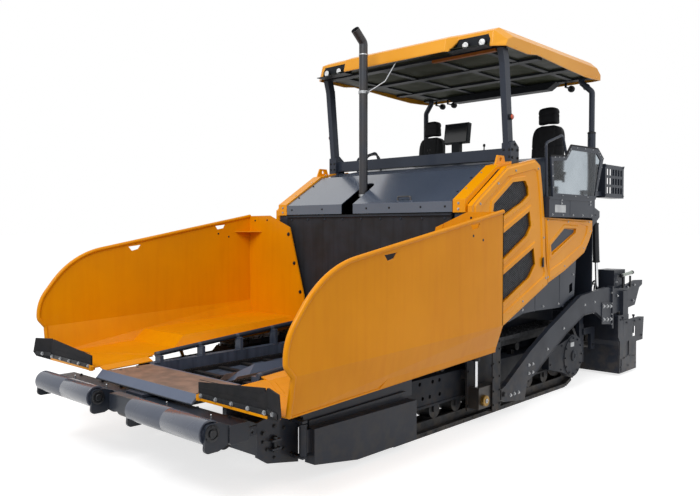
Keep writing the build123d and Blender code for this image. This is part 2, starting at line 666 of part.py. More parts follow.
def lid_hinges():
    """Pins and ears on the body that carry the hood lid."""
    half = SHOULDER_IN + 2
    carrier = block(-half, half, 4150, 4162, LID_PIN_Z - 60, 2850) + block(-half, half, 4150, 4525, 2838, 2850)
    for x in LID_HINGES:
        carrier += disc(x - 34, x + 34, LID_PIN_Y, LID_PIN_Z, LID_PIN_R)
        for start in (x - 34, x + 22):
            carrier += slab("X", [(LID_PIN_Y - 24, LID_PIN_Z - 22), (4155, LID_PIN_Z - 60), (4155, LID_PIN_Z + 50),
                                  (LID_PIN_Y - 10, LID_PIN_Z + 24)], start, start + 12)
    return carrier


def hood_lid():
    """Sloping hood lid with its open slot round the exhaust pipe and two handles."""
    top = [(HOOD_FRONT, HOOD_FOOT_Z + 6), (HOOD_FRONT, HOOD_LIP_Z), (HOOD_KNEE_Y, HOOD_KNEE_Z), (HOOD_REAR, HOOD_REAR_Z),
           (HOOD_REAR, HOOD_REAR_Z - LID_T), (HOOD_KNEE_Y, HOOD_KNEE_Z - LID_T), (HOOD_FRONT + LID_T, HOOD_LIP_Z - 5),
           (HOOD_FRONT + LID_T, HOOD_FOOT_Z + 6)]
    lid = slab("X", top, -HOOD_HALF, HOOD_HALF)
    for x in LID_HINGES:
        lid += slab("X", [(3900, 2785), (LID_PIN_Y - 10, LID_PIN_Z - 10), (LID_PIN_Y + 10, LID_PIN_Z), (4035, 2833),
                          (3900, 2797)], x - 15, x + 15)
        lid += disc(x - 15, x + 15, LID_PIN_Y, LID_PIN_Z, 24)
        lid -= disc(x - 20, x + 20, LID_PIN_Y, LID_PIN_Z, LID_PIN_R + FIT)
    lid -= block(PIPE_X - SLOT_HALF, PIPE_X + SLOT_HALF, HOOD_FRONT - 10, PIPE_Y + 60, 2200, 2900)
    lid -= rod((PIPE_X, PIPE_Y + 60, 2200), (PIPE_X, PIPE_Y + 60, 2900), SLOT_HALF)
    handle = pipe([(520, 3168, 2400), (520, 3160, 2450), (700, 3160, 2450), (700, 3168, 2400)], 9, 14)
    return lid + handle


def door_outline():
    """Side door's edge (Y, Z), from the lower front corner round."""
    return [(3150, 790), (4790, 1434), (4790, 1560), (4740, 1700), (4700, 2240), (4640, 2587), (4590, 2830),
            (4455, 2895), (3839, 2775), (3236, 2390), (3150, 2330)]


DOOR_WINDOWS = (
    ((3541, 2281), (3559, 2361), (3949, 2608), (4224, 2639), (4290, 2568), (4301, 2474), (4171, 2395), (3761, 2232)),
    ((3440, 1915), (3765, 2052), (4324, 2296), (4366, 2125), (4271, 2012), (3769, 1764), (3440, 1640)),
    ((3440, 1455), (3806, 1618), (4427, 1877), (4468, 1684), (4335, 1536), (3816, 1317), (3440, 1160)),
)


def side_door():
    """Side door: a thick pressed panel with three window openings."""
    door = slab("X", door_outline(), DOOR_IN, DOOR_OUT)
    door -= slab("X", [(3190, 870), (4740, 1470), (4655, 2240), (4560, 2800), (4455, 2850), (3850, 2730),
                       (3250, 2345), (3190, 2300)], DOOR_IN - 1, DOOR_OUT - 24)
    for outline in DOOR_WINDOWS:
        door -= slab("X", outline, DOOR_IN - 1, DOOR_OUT + 1)
    door -= block(DOOR_IN - 1, DOOR_IN + 16, 3140, 3164, 700, 2500)
    for z in DOOR_HINGE_Z:
        door -= block(DOOR_IN - 2, DOOR_OUT - 14, 3140, 3192, z - 52, z + 52)
        door += rod((DOOR_PIN_X, DOOR_PIN_Y, z - 30), (DOOR_PIN_X, DOOR_PIN_Y, z + 30), 20)
        door += block(DOOR_PIN_X, DOOR_OUT - 10, DOOR_PIN_Y - 18, DOOR_PIN_Y + 18, z - 30, z + 30)
        door -= rod((DOOR_PIN_X, DOOR_PIN_Y, z - 60), (DOOR_PIN_X, DOOR_PIN_Y, z + 60), 10 + FIT)
    return door


def door_pillar():
    """Corner pillar behind the shoulder with the two hinges of one side door."""
    pillar = block(1290, SHOULDER_OUT, 3152, 3262, BED_Z + BED_T, HOOD_FOOT_Z - 10)
    pillar += block(1200, 1295, 3222, 3262, BED_Z + BED_T, BED_Z + BED_T + 40)
    pillar += block(SHOULDER_IN, SHOULDER_OUT, SHOULDER_REAR, 4525, 2210, 2850)
    pillar -= block(SHOULDER_IN + 12, SHOULDER_OUT - 12, SHOULDER_REAR + 12, 4540, 2200, 2838)
    for z in DOOR_HINGE_Z:
        pillar += rod((DOOR_PIN_X, DOOR_PIN_Y, z - 46), (DOOR_PIN_X, DOOR_PIN_Y, z + 46), 10)
        for start in (z - 46, z + 36):
            pillar += block(SHOULDER_OUT - 5, DOOR_PIN_X + 6, DOOR_PIN_Y - 14, DOOR_PIN_Y + 14, start, start + 10)
    return pillar


def door_grilles():
    """Mesh panels set behind the door's windows."""
    panels = []
    for outline in DOOR_WINDOWS:
        middle_y = sum(p[0] for p in outline) / len(outline)
        middle_z = sum(p[1] for p in outline) / len(outline)
        grown = [(middle_y + (y - middle_y) * 1.03, middle_z + (z - middle_z) * 1.04) for y, z in outline]
        panels.append(slab("X", grown, DOOR_OUT - 34, DOOR_OUT - 24))
    return panels


def side_skirt():
    """Dark skirt under the door and the rear panel, with its curved edge over the track."""
    outline = [(3520, 1075), (3900, 1030), (4110, 1040), (4410, 1105), (4700, 1112), (5330, 1100), (5740, 1225),
               (5800, 1800), (5990, 2200), (3520, 2200)]
    skirt = slab("X", outline, SKIRT_OUT - SKIRT_T, SKIRT_OUT)
    skirt -= slab("X", [(5600, 1260), (5690, 1290), (5690, 1400), (5600, 1370)], SKIRT_OUT - 20, SKIRT_OUT + 5)
    for y in (3900, 5400):
        skirt += block(1210, SKIRT_OUT, y, y + 40, BED_Z + BED_T, BED_Z + 70)
    return skirt


def rear_panel():
    """Yellow rear side panel with its triangular recess."""
    outline = [(4712, 2228), (4806, 1450), (5222, 1574), (5777, 1785), (5919, 1933), (6016, 2063), (6013, 2200)]
    inner = [(4730, 2212), (4822, 1480), (5216, 1592), (5766, 1800), (5905, 1943), (5998, 2068), (5996, 2184)]
    panel = slab("X", outline, SKIRT_OUT, DOOR_OUT) - slab("X", inner, SKIRT_OUT - 1, DOOR_OUT - 26)
    recess = [(4850, 1899), (5213, 2106), (5532, 2095), (5507, 2043), (4870, 1770)]
    return panel - slab("X", recess, DOOR_OUT - 14, DOOR_OUT + 1)


def engine_block():
    """Engine as one plain block on the bed, behind the hopper wall."""
    return block(-375, 375, 3340, 4480, BED_Z + BED_T, ENGINE_TOP)


def exhaust_pipe():
    """Exhaust stack from the engine through the hood slot, its turned nozzle, clamp and brace."""
    tip = (PIPE_X, PIPE_Y - 150, PIPE_TOP + 130)
    stack = pipe([(PIPE_X, PIPE_Y, ENGINE_TOP), (PIPE_X, PIPE_Y, PIPE_TOP), tip], PIPE_R, PIPE_R + 12)
    stack -= rod((PIPE_X, PIPE_Y - 75, PIPE_TOP + 65), (PIPE_X, PIPE_Y - 180, PIPE_TOP + 156), PIPE_R - 5)
    clamp = PIPE_TOP - 600
    stack += rod((PIPE_X, PIPE_Y, clamp - 10), (PIPE_X, PIPE_Y, clamp + 15), PIPE_R + 6)
    stack += block(PIPE_X + 40, PIPE_X + 90, PIPE_Y - 8, PIPE_Y + 8, clamp - 8, clamp + 13)
    brace = [(PIPE_X + 80, PIPE_Y, clamp + 2), (0, PIPE_Y + 140, clamp + 130), (40, PIPE_Y + 296, ROOF_LOW - 4)]
    return stack + pipe(brace, 6, 40)


def body_shell():
    """Middle body behind the hood, with the dash and operator deck."""
    deck = slab("Z", [(-1384, 4700), (1384, 4700), (1384, 6030), (1440, 6030), (1440, BODY_REAR),
                      (-1440, BODY_REAR), (-1440, 6030), (-1384, 6030)], FLOOR_Z - 16, FLOOR_Z)
    dash = slab("X", [(4520, FLOOR_Z - 16), (4520, 2890), (4800, 2945), (4905, 2945), (4905, FLOOR_Z - 16)], -1432, 1432)
    dash -= slab("X", [(4532, FLOOR_Z - 17), (4532, 2878), (4800, 2933), (4893, 2933), (4893, FLOOR_Z - 17)],
                 -1420, 1420)
    cross = block(-1379, 1379, 4690, 4702, BED_Z + BED_T, FLOOR_Z)
    shell = deck + dash + cross + lid_hinges()
    for side in pair(door_pillar()):
        shell += side
    tray_floor = block(TRAY_IN, TRAY_OUT, TRAY_FRONT, TRAY_REAR, FLOOR_Z - 16, FLOOR_Z - 4)
    tray_end = block(TRAY_IN, TRAY_OUT, TRAY_FRONT, TRAY_FRONT + 12, FLOOR_Z - 16, FLOOR_Z + TRAY_H)
    for side in pair(tray_floor + tray_end):
        shell -= side
    return shell


def rear_wall():
    """Plate that closes the body's rear under the operator deck."""
    return block(-1379, 1379, BODY_REAR - 12, BODY_REAR, BED_Z + BED_T, FLOOR_Z - 16)


def platform_box():
    """Open tray along one side of the operator deck, behind a high outer plate."""
    tray = block(TRAY_IN, TRAY_OUT, TRAY_FRONT, TRAY_REAR, FLOOR_Z - 16, FLOOR_Z + TRAY_H)
    return tray - block(TRAY_IN - 1, TRAY_OUT - 12, TRAY_FRONT + 12, TRAY_REAR - 12, FLOOR_Z - 4, FLOOR_Z + TRAY_H + 1)


def front_portal():
    """Cross beam behind the hood with the two leaning canopy posts."""
    portal = block(-1395, 1395, 4120, 4235, 2880, 3010)
    foot = [(4060, 2850), (4235, 2850), (4235, 3020), (4140, 3090), (4060, 3060)]
    post = [(4075, 2860), (4175, 2860), (4070, 3950), (4030, ROOF_LOW - 8), (3920, ROOF_LOW - 8), (3965, 3950)]
    for side in pair(slab("X", foot, 1300, 1420) + slab("X", post, 1318, 1390)):
        portal += side
    return portal


def rear_posts():
    """Bent tubes that carry the canopy's rear, in their sockets."""
    y = 6238
    tube = pipe([(1380, y, 2300), (1380, y, 3930), (1250, y - 40, 4060), (1250, y - 40, ROOF_LOW - 8)], 38, 60)
    socket = rod((1380, y, 2900), (1380, y, 3370), 52)
    foot = block(1318, 1438, 6180, 6298, FLOOR_Z, FLOOR_Z + 20) + rod((1380, y, FLOOR_Z), (1380, y, 2910), 50)
    return tube + socket + foot


def roof_plan(inset):
    """Roof outline (X, Y), drawn in by a distance."""
    side = ROOF_HALF - inset
    front, rear = ROOF_FRONT + inset, ROOF_REAR - inset
    half = [(780, front - 145), (1350 - inset * 0.4, front), (side, front + 120), (side, rear - 200), (side - 130, rear)]
    return half + [(-x, y) for x, y in reversed(half)]


def canopy_roof():
    """Hollow roof shell with chamfered top edges."""
    roof = slab("Z", roof_plan(0), ROOF_LOW, ROOF_TOP)
    roof = chamfer(roof.faces().sort_by(Axis.Z)[-1].edges(), 60)
    hollow = slab("Z", roof_plan(ROOF_T), ROOF_LOW - 1, ROOF_TOP - ROOF_T)
    hollow = chamfer(hollow.faces().sort_by(Axis.Z)[-1].edges(), 55)
    return roof - hollow


def canopy_liner():
    """Dark underside of the roof: frame bars, panels and the rear box."""
    liner = slab("Z", roof_plan(ROOF_T + 30), ROOF_LOW + 22, ROOF_LOW + 34)
    liner += slab("Z", roof_plan(ROOF_T + FIT), ROOF_LOW + 26, ROOF_LOW + 30)
    for x in (-1100, -420, 420, 1100):
        liner += block(x - 35, x + 35, 3960, 6200, ROOF_LOW, ROOF_LOW + 25)
    for y, width in ((3920, 1370), (4700, 1390), (5500, 1390), (6160, 1370)):
        liner += block(-width, width, y, y + 120, ROOF_LOW - 8, ROOF_LOW + 25)
    rear = [(-920, ROOF_LOW), (920, ROOF_LOW), (780, ROOF_LOW - 90), (-780, ROOF_LOW - 90)]
    liner += slab("Y", rear, 6120, 6280)
    return liner


def lamps():
    """Work lamps front and rear, and the marker lamps on the front posts."""
    found = []
    z = ROOF_LOW - 46
    for x in (1000, 1215):
        found.extend(pair(rod((x, 3790, z), (x, 3860, z), 42) + block(x - 12, x + 12, 3850, 3965, z - 10, z + 10)
                          + block(x - 12, x + 12, 3935, 3965, z, ROOF_LOW - 8)))
        found.extend(pair(rod((x, 6320, z), (x, 6400, z), 42) + block(x - 12, x + 12, 6240, 6330, z - 10, z + 10)
                          + block(x - 12, x + 12, 6240, 6270, z, ROOF_LOW - 8)))
    found.extend(pair(rod((1390, 4080, 3349), (1420, 4080, 3349), 30)))
    return found


SEAT_X = 960
SEAT_Y = 5600


def seat_base():
    """Seat pedestal and suspension box on the deck."""
    base = block(SEAT_X - 200, SEAT_X + 200, SEAT_Y - 260, SEAT_Y + 200, FLOOR_Z, FLOOR_Z + 60)
    base += slab("X", [(SEAT_Y - 200, FLOOR_Z + 60), (SEAT_Y + 150, FLOOR_Z + 60), (SEAT_Y + 180, FLOOR_Z + 400),
                       (SEAT_Y - 230, FLOOR_Z + 400)], SEAT_X - 170, SEAT_X + 170)
    return base


def seat_cushion():
    """One seat: squab, backrest and headrest as a closed soft form."""
    z = FLOOR_Z + 400 + FIT
    squab = slab("X", [(SEAT_Y - 290, z), (SEAT_Y + 190, z), (SEAT_Y + 200, z + 110), (SEAT_Y - 290, z + 140)],
                 SEAT_X - 250, SEAT_X + 250, 30)
    back = slab("X", [(SEAT_Y + 130, z + 60), (SEAT_Y + 240, z + 60), (SEAT_Y + 300, z + 790), (SEAT_Y + 190, z + 790)],
                SEAT_X - 240, SEAT_X + 240, 30)
    head = slab("X", [(SEAT_Y + 190, z + 770), (SEAT_Y + 300, z + 770), (SEAT_Y + 290, z + 1080), (SEAT_Y + 190, z + 1080)],
                SEAT_X - 150, SEAT_X + 150, 30)
    return squab + back + head


def consoles():
    """Operator desks between and beside the seats with the tilted monitor."""
    desk = slab("X", [(4905, FLOOR_Z), (4905, 3020), (5060, 3080), (5140, 3080), (5140, FLOOR_Z)], -600, 600)
    desk += block(-60, 60, 5040, 5120, 3080, 3260)
    desk += slab("X", [(5040, 3250), (5110, 3240), (5150, 3510), (5080, 3520)], -190, 190)
    return desk


SHIELD_WINDOW = ((4890, 2520), (4860, 2900), (5190, 2930), (5340, 3070), (6060, 3080), (6180, 3000), (6020, 2520))


def side_shield():
    """Frame of the clear side screen on the platform box, with its grab rail."""
    outer = [(4850, 2475), (4800, 2956), (5191, 2984), (5334, 3127), (6108, 3144), (6280, 3027), (6043, 2475)]
    frame = slab("X", outer, 1512, 1532) - slab("X", SHIELD_WINDOW, 1500, 1540)
    rail = pipe([(1500, 4760, FLOOR_Z - 3), (1500, 4730, 3110), (1500, 5150, 3240), (1500, 5250, 3020)], 16, 60)
    frame += block(1500, 1532, 4850, 5920, 2440, 2476)
    for y in (5000, 5800):
        frame += block(1500, 1544, y, y + 40, 2440, 2480)
    return frame + rail + block(1490, 1532, 5237, 5263, 3005, 3030)


def shield_window():
    """Clear panel of one side screen."""
    return slab("X", SHIELD_WINDOW, 1519, 1525)


def rear_step():
    """Folded perforated steps behind the platform."""
    box = block(1100, 1290, 6900, 7560, 2540, 3010) - block(1088, 1278, 6912, 7548, 2552, 3020)
    for i in range(6):
        y = 6960 + i * 95
        for j in range(3):
            box -= block(1250, 1300, y, y + 60, 2600 + j * 130, 2690 + j * 130)
    arm = block(1190, 1240, BODY_REAR, 6920, 2560, 2620) + block(1190, 1240, BODY_REAR, BODY_REAR + 40, 2140, 2620)
    return box + arm


def tow_guide():
    """Vertical guide of one tow point with the level cylinder's barrel above it."""
    front, rear = TOW_Y - 490, TOW_Y + 30
    back = slab("X", [(front, 130), (rear, 130), (rear, 1000), (front, 1000)], 1280, 1302 - FIT, 30)
    cover = block(1445, 1457, GUIDE_FRONT, GUIDE_REAR, 110, 900)
    bridges = block(1280, 1457, GUIDE_FRONT, GUIDE_REAR, 110, 130)
    bridges += block(1280, 1457, GUIDE_FRONT, GUIDE_REAR, 880, 900)
    bracket = block(TRACK_MID + 108, 1280, front + 40, front + 320, 470, TRACK_FRAME_TOP)
    barrel = rod((LEVEL_X, LEVEL_ROD_Y, 700), (LEVEL_X, LEVEL_ROD_Y, 1160), LEVEL_BARREL_R)
    barrel -= rod((LEVEL_X, LEVEL_ROD_Y, 690), (LEVEL_X, LEVEL_ROD_Y, 1120), LEVEL_ROD_R + FIT)
    mount = block(1290, 1345, LEVEL_ROD_Y - 30, LEVEL_ROD_Y + 30, 900, 1060)
    return back + cover + bridges + bracket + barrel + mount


def tow_point():
    """Sliding tow point: block, lug with the tow pin, brass guide roller and the level cylinder's rod."""
    rear = TOW_Y - 90
    point = block(1302, 1436, TOW_Y - 470, rear, 170, 400)
    point += slab("X", [(rear - 10, 190), (TOW_Y, TOW_Z - 58), (TOW_Y, TOW_Z + 58), (rear - 10, 380)], LUG_IN, LUG_OUT)
    point += disc(LUG_IN, LUG_OUT, TOW_Y, TOW_Z, 58)
    point += disc(FORK_IN, ARM_OUT + 6, TOW_Y, TOW_Z, TOW_PIN_R)
    point += rod((LEVEL_X, LEVEL_ROD_Y, 380), (LEVEL_X, LEVEL_ROD_Y, 880), LEVEL_ROD_R)
    point += disc(1430, 1476, TOW_Y - 380, 258, 58)
    return point


def tow_arm():
    """One tow arm: forked foot at the tow pin, long diagonal, rear plate with flange and level plate."""
    front = TOW_Y - 52
    outline = [(front, 205), (TOW_Y + 30, 172), (4329, 123), (4400, 330), (4556, 372), (5412, 783), (5876, 956),
               (6258, 967), (6749, 738), (6735, 1262), (6625, 1281), (5796, 1223), (4936, 880), (4470, 666),
               (TOW_Y + 30, 348), (front, 322)]
    arm = slab("X", outline, ARM_IN, ARM_OUT)
    arm -= slab("X", [(4010, 220), (4300, 190), (4330, 320), (4530, 420), (5400, 830), (5860, 1010), (6250, 1020),
                      (6680, 830), (6680, 1200), (5810, 1150), (4960, 800), (4500, 590), (4010, 320)],
                ARM_IN - 1, ARM_IN + 30)
    arm += slab("X", [(front, 205), (TOW_Y + 30, 172), (4000, 172), (4000, 340), (front, 322)], FORK_IN, FORK_IN + 20)
    arm += block(FORK_IN, ARM_IN + 10, 3940, 4000, 172, 340)
    arm -= disc(FORK_IN - 10, ARM_OUT + 20, TOW_Y, TOW_Z, TOW_PIN_R + FIT)
    arm += block(ARM_IN, ARM_OUT + 24, 6735, 6770, 700, 1290)
    arm += slab("X", [(6770, 880), (7650, 960), (7820, 1210), (MACHINE_REAR, 1250), (MACHINE_REAR, 1316), (7640, 1327), (7048, 1237),
                      (6770, 1260)], ARM_IN + 10, ARM_IN + 40)
    return arm + disc(ARM_IN - 14, ARM_IN + 31, LIFT_EYE_Y, 1160, 48)


def lift_cylinder():
    """Screed lift cylinder: barrel under the rear bracket and its rod."""
    top = Vector(LIFT_X, LIFT_PIVOT_Y, LIFT_PIVOT_Z)
    eye = Vector(LIFT_X, LIFT_EYE_Y, LIFT_EYE_Z)
    line = (eye - top).normalized()
    barrel = rod(top + line * 120, top + line * 660, LIFT_BARREL_R) + rod(top, top + line * 130, 24)
    barrel += disc(LIFT_X - 26, LIFT_X + 26, top.Y, top.Z, 44)
    barrel -= disc(LIFT_X - 40, LIFT_X + 40, top.Y, top.Z, 18 + FIT)
    barrel -= rod(top + line * 250, top + line * 680, LIFT_ROD_R + FIT)
    bar = rod(top + line * 620, eye, LIFT_ROD_R) + disc(LIFT_X - 22, LIFT_X + 46, eye.Y, eye.Z, 42)
    return barrel, bar


def lift_bracket():
    """Rear bracket and pin that hold one lift cylinder."""
    bracket = disc(LIFT_X - 40, LIFT_X + 40, LIFT_PIVOT_Y, LIFT_PIVOT_Z, 18)
    for x in (LIFT_X - 44, LIFT_X + 32):
        bracket += slab("X", [(BODY_REAR, 2120), (LIFT_PIVOT_Y + 50, 2250), (LIFT_PIVOT_Y + 50, 2330), (BODY_REAR, 2400)],
                        x, x + 12)
    return bracket


def screed_frame():
    """Screed box over the full width: a hollow welded section with ribs, walkway and arm mounts."""
    top = SCREED_TOP
    outline = [(SCREED_FRONT, SCREED_LOW + 24), (SCREED_REAR - 20, SCREED_LOW + 24), (SCREED_REAR - 20, 420),
               (7300, 560), (7300, top), (SCREED_FRONT - 20, top), (SCREED_FRONT - 20, 500), (SCREED_FRONT, 430)]
    inner = [(SCREED_FRONT + 16, SCREED_LOW + 40), (SCREED_REAR - 36, SCREED_LOW + 40), (SCREED_REAR - 36, 410),
             (7284, 552), (7284, top - 16), (SCREED_FRONT - 4, top - 16), (SCREED_FRONT - 4, 500), (SCREED_FRONT + 16, 426)]
    side = SCREED_HALF - 12
    frame = slab("X", outline, -side, side) - slab("X", inner, -side - 1, side + 1)
    for x in (-side, -508, 492, side - 16):
        frame += slab("X", outline, x, x + 16)
    frame += block(-1300, 1300, 7560, 7900, 405, 430)
    for x in (-1200, 0, 1160):
        frame += block(x, x + 40, 7540, 7880, 330, 405)
    for mount in pair(block(ARM_IN + 40, side, 7100, 7280, top - 5, 1200)):
        frame += mount
    return frame


def screed_ends():
    """End plates with their slots, and the sole plate between them."""
    outline = [(6950, SCREED_LOW), (7565, SCREED_LOW), (7565, 430), (7810, 433), (7850, 770), (7640, 790), (7058, 780),
               (6960, 860), (6900, 869), (6900, 560), (6967, 479)]
    plate = slab("X", outline, SCREED_HALF - 12, SCREED_HALF)
    for y0, y1, z0, z1 in ((7425, 7540, 515, 660), (7175, 7295, 262, 470)):
        plate -= block(SCREED_HALF - 20, SCREED_HALF + 10, y0, y1, z0, z1)
    sole = block(-SCREED_HALF + 12, SCREED_HALF - 12, SCREED_FRONT, SCREED_REAR - 5, SCREED_LOW, SCREED_LOW + 24)
    return pair(plate) + [sole]


def screed_boxes():
    """Valve and control boxes that stand on the screed."""
    top = SCREED_TOP
    tall = block(1120, 1396, 6990, 7380, top, 1500) - block(1128, 1388, 6998, 7372, top - 1, 1492)
    outline = [(6990, top), (7290, top), (7290, 1100), (7240, 1160), (6990, 1160)]
    inner = [(6998, top - 1), (7282, top - 1), (7282, 1096), (7236, 1152), (6998, 1152)]
    wide = slab("X", outline, -900, 900) - slab("X", inner, -892, 892)
    return pair(tall) + [wide]


def auger():
    """One auger: shaft with two turns of flighting."""
    shaft = disc(AUGER_IN, AUGER_OUT, AUGER_Y, AUGER_Z, AUGER_SHAFT_R)
    shaft += disc(AUGER_IN - 30, AUGER_OUT + 36, AUGER_Y, AUGER_Z, AUGER_STUB_R)
    pitch = 300
    blades = 10
    for i in range(3 * blades):
        x = AUGER_IN + 70 + i * pitch / blades
        if x + 16 > AUGER_OUT - 10:
            break
        turn = 360 / blades * i
        blade = slab("X", [(-52, 30), (52, 30), (70, AUGER_R), (-70, AUGER_R)], 0, 14)
        shaft += Pos(x, AUGER_Y, AUGER_Z) * Rot(turn, 0, 0) * blade
    return shaft


def auger_carrier():
    """Chain case between the augers and the outer bearings under the rear frame."""
    case = block(-100, 100, AUGER_Y - 110, AUGER_Y + 90, 380, 560) + block(-100, 100, 6180, AUGER_Y, 430, 560)
    case += block(-100, 100, 6180, 6300, 430, 700)
    bar = block(-1200, 1200, 6300, 6420, 620, 700)
    carrier = case + bar
    for side in pair(block(AUGER_OUT + GAP, AUGER_OUT + 50, AUGER_Y - 60, AUGER_Y + 60, 390, 700)
                     + block(AUGER_OUT + GAP, AUGER_OUT + 50, 6400, AUGER_Y, 620, 700)):
        carrier += side
    for side in pair(disc(90, AUGER_IN - GAP, AUGER_Y, AUGER_Z, 60)):
        carrier += side
    for side in pair(disc(AUGER_IN - 34, AUGER_OUT + 60, AUGER_Y, AUGER_Z, AUGER_STUB_R + FIT)):
        carrier -= side
    return carrier


def track_guard():
    """Hinged guard in front of and beside the track's front, with its hinge barrel."""
    outline = [(995, 160), (1520, 80), (2365, 80), (2365, 455), (995, 455)]
    guard = slab("X", outline, 1284, 1400)
    guard = guard + slab("X", [(1030, 450), (2330, 450), (2330, 530), (1030, 500)], 1284, 1300)
    return guard + rod((1330, 930, 240), (1330, 930, 500), 34) + block(1300, 1360, 930, 1000, 260, 450) - rod(
        (1330, 930, 200), (1330, 930, 520), 14 + FIT)


def guard_pin():
    """Pin and two lugs that carry one track guard."""
    lug = rod((1330, 930, 215), (1330, 930, 530), 14)
    for z0 in (212, 506):
        lug += block(1213, 1352, 905, 958, z0, z0 + 20)
    return lug


def build():
    """Write every node."""
    save("track_left", track_loop())
    save("track_right", mirror(track_loop(), about=Plane.YZ))
    save("track_frames", *pair(track_frame()))
    wheels = track_wheels()
    save("track_wheels", *wheels, *[mirror(w, about=Plane.YZ) for w in wheels])
    save("drive_covers", *pair(drive_cover()))
    frame = main_frame() + push_pin() + auger_carrier()
    save("main_frame", frame, *pair(front_cheek()), *pair(skirt_rail()), *pair(wing_cylinder_foot()))
    save("push_beam", push_beam())
    save("push_roller_left", push_roller())
    save("push_roller_right", mirror(push_roller(), about=Plane.YZ))
    save("conveyor_deck", conveyor_deck())
    save("conveyor_chains", *conveyor_chains(), conveyor_ridge())
    save("hopper_apron", hopper_apron())
    save("hopper_back", hopper_back())
    wing = wing_shell()
    flap = wing_flap()
    barrel, bar, _, _ = wing_cylinder()
    save("wing_left", wing)
    save("wing_right", mirror(wing, about=Plane.YZ))
    save("wing_lugs_left", *wing_lugs())
    save("wing_lugs_right", *[mirror(lug, about=Plane.YZ) for lug in wing_lugs()])
    save("wing_flap_left", flap)
    save("wing_flap_right", mirror(flap, about=Plane.YZ))
    save("wing_barrel_left", barrel)
    save("wing_barrel_right", mirror(barrel, about=Plane.YZ))
    save("wing_rod_left", bar)
    save("wing_rod_right", mirror(bar, about=Plane.YZ))
    save("hood_shoulders", *pair(hood_shoulder()))
    save("hood_lid", hood_lid())
    save("door_left", side_door())
    save("door_right", mirror(side_door(), about=Plane.YZ))
    save("door_grille_left", *door_grilles())
    save("door_grille_right", *[mirror(g, about=Plane.YZ) for g in door_grilles()])
    save("side_skirts", *pair(side_skirt()))
    save("rear_panels", *pair(rear_panel()))
    save("engine_block", engine_block())
    save("exhaust_pipe", exhaust_pipe())
    save("body_shell", body_shell(), rear_wall(), *pair(lift_bracket()))
    save("platform_boxes", *pair(platform_box()))
    save("front_portal", front_portal())
    save("rear_posts", *pair(rear_posts()))
    save("canopy_roof", canopy_roof())
    save("canopy_liner", canopy_liner())
    save("lamps", *lamps())
    save("seat_bases", *pair(seat_base()))
    save("seat_cushions", *pair(seat_cushion()))
    save("consoles", consoles())
    save("side_shields", *pair(side_shield()))
    save("shield_windows", *pair(shield_window()))
    save("rear_steps", *pair(rear_step()))
    save("tow_guides", *pair(tow_guide()))
    save("tow_points", *pair(tow_point()))
    save("tow_arms", *pair(tow_arm()))
    barrel, bar = lift_cylinder()
    save("lift_barrels", *pair(barrel))
    save("lift_rods", *pair(bar))
    save("screed_frame", screed_frame())
    save("screed_ends", *screed_ends())
    save("screed_boxes", *screed_boxes())
    save("auger_left", auger())
    save("auger_right", mirror(auger(), about=Plane.YZ))
    save("track_guard_left", track_guard())
    save("track_guard_right", mirror(track_guard(), about=Plane.YZ))


build()
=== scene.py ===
"""The looks of a tracked asphalt paver, in the order in which it is put together."""
import math

import bmesh
import bpy
from mathutils import Matrix, Vector


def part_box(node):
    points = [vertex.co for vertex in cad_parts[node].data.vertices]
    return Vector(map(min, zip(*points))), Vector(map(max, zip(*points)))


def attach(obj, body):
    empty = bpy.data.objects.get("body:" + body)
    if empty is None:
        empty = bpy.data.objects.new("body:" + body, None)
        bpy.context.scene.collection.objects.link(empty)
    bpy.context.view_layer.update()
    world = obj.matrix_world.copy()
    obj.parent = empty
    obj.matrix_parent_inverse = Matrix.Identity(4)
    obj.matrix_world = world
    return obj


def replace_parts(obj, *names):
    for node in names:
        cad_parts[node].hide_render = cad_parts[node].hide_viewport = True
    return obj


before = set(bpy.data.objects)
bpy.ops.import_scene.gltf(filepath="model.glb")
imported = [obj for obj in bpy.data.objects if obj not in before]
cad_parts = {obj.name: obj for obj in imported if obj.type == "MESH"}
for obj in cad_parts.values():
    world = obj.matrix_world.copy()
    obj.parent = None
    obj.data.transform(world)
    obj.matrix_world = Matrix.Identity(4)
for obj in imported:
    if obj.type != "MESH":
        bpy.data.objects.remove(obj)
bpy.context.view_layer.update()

# Crawler tracks: rolled steel shoes bolted to sealed link chains, running on cast rollers in a box frame.
# Phosphated and oiled, so nearly black and dull, rubbed bright on the shoes' edges and brown with dried
# soil lower down.
MM = 0.001
AXIS_Y = (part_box("push_roller_left")[0].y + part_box("push_roller_left")[1].y) / 2
SIDES = (("left", 1), ("right", -1))
OUT, FRONT, REAR, UP = (1, 0, 0), (0, -1, 0), (0, 1, 0), (0, 0, 1)


def at(x, y, z):
    """A place given in millimetres, Y counted to the rear from the push rollers' axis."""
    return Vector((x * MM, y * MM + AXIS_Y, z * MM))


def linear(code):
    """The linear colour of an sRGB hex value."""
    values = [int(code[i:i + 2], 16) / 255 for i in (1, 3, 5)]
    return [v / 12.92 if v <= 0.04045 else ((v + 0.055) / 1.055) ** 2.4 for v in values] + [1.0]


def add(tree, kind, links=(), inputs=None, **settings):
    """One shader node with its settings, its input values and the links into it."""
    made = tree.nodes.new(kind)
    for key, value in settings.items():
        setattr(made, key, value)
    for key, value in (inputs or {}).items():
        made.inputs[key].default_value = value
    for source, target in links:
        tree.links.new(source, made.inputs[target])
    return made


def noise(tree, place, scale, detail):
    """A cloudy pattern."""
    return add(tree, "ShaderNodeTexNoise", [(place, "Vector")], {"Scale": scale, "Detail": detail}).outputs["Fac"]


def remap(tree, value, low, high, to_low=0.0, to_high=1.0):
    """A value spread from one range to another."""
    return add(tree, "ShaderNodeMapRange", [(value, "Value")],
               {"From Min": low, "From Max": high, "To Min": to_low, "To Max": to_high}).outputs[0]


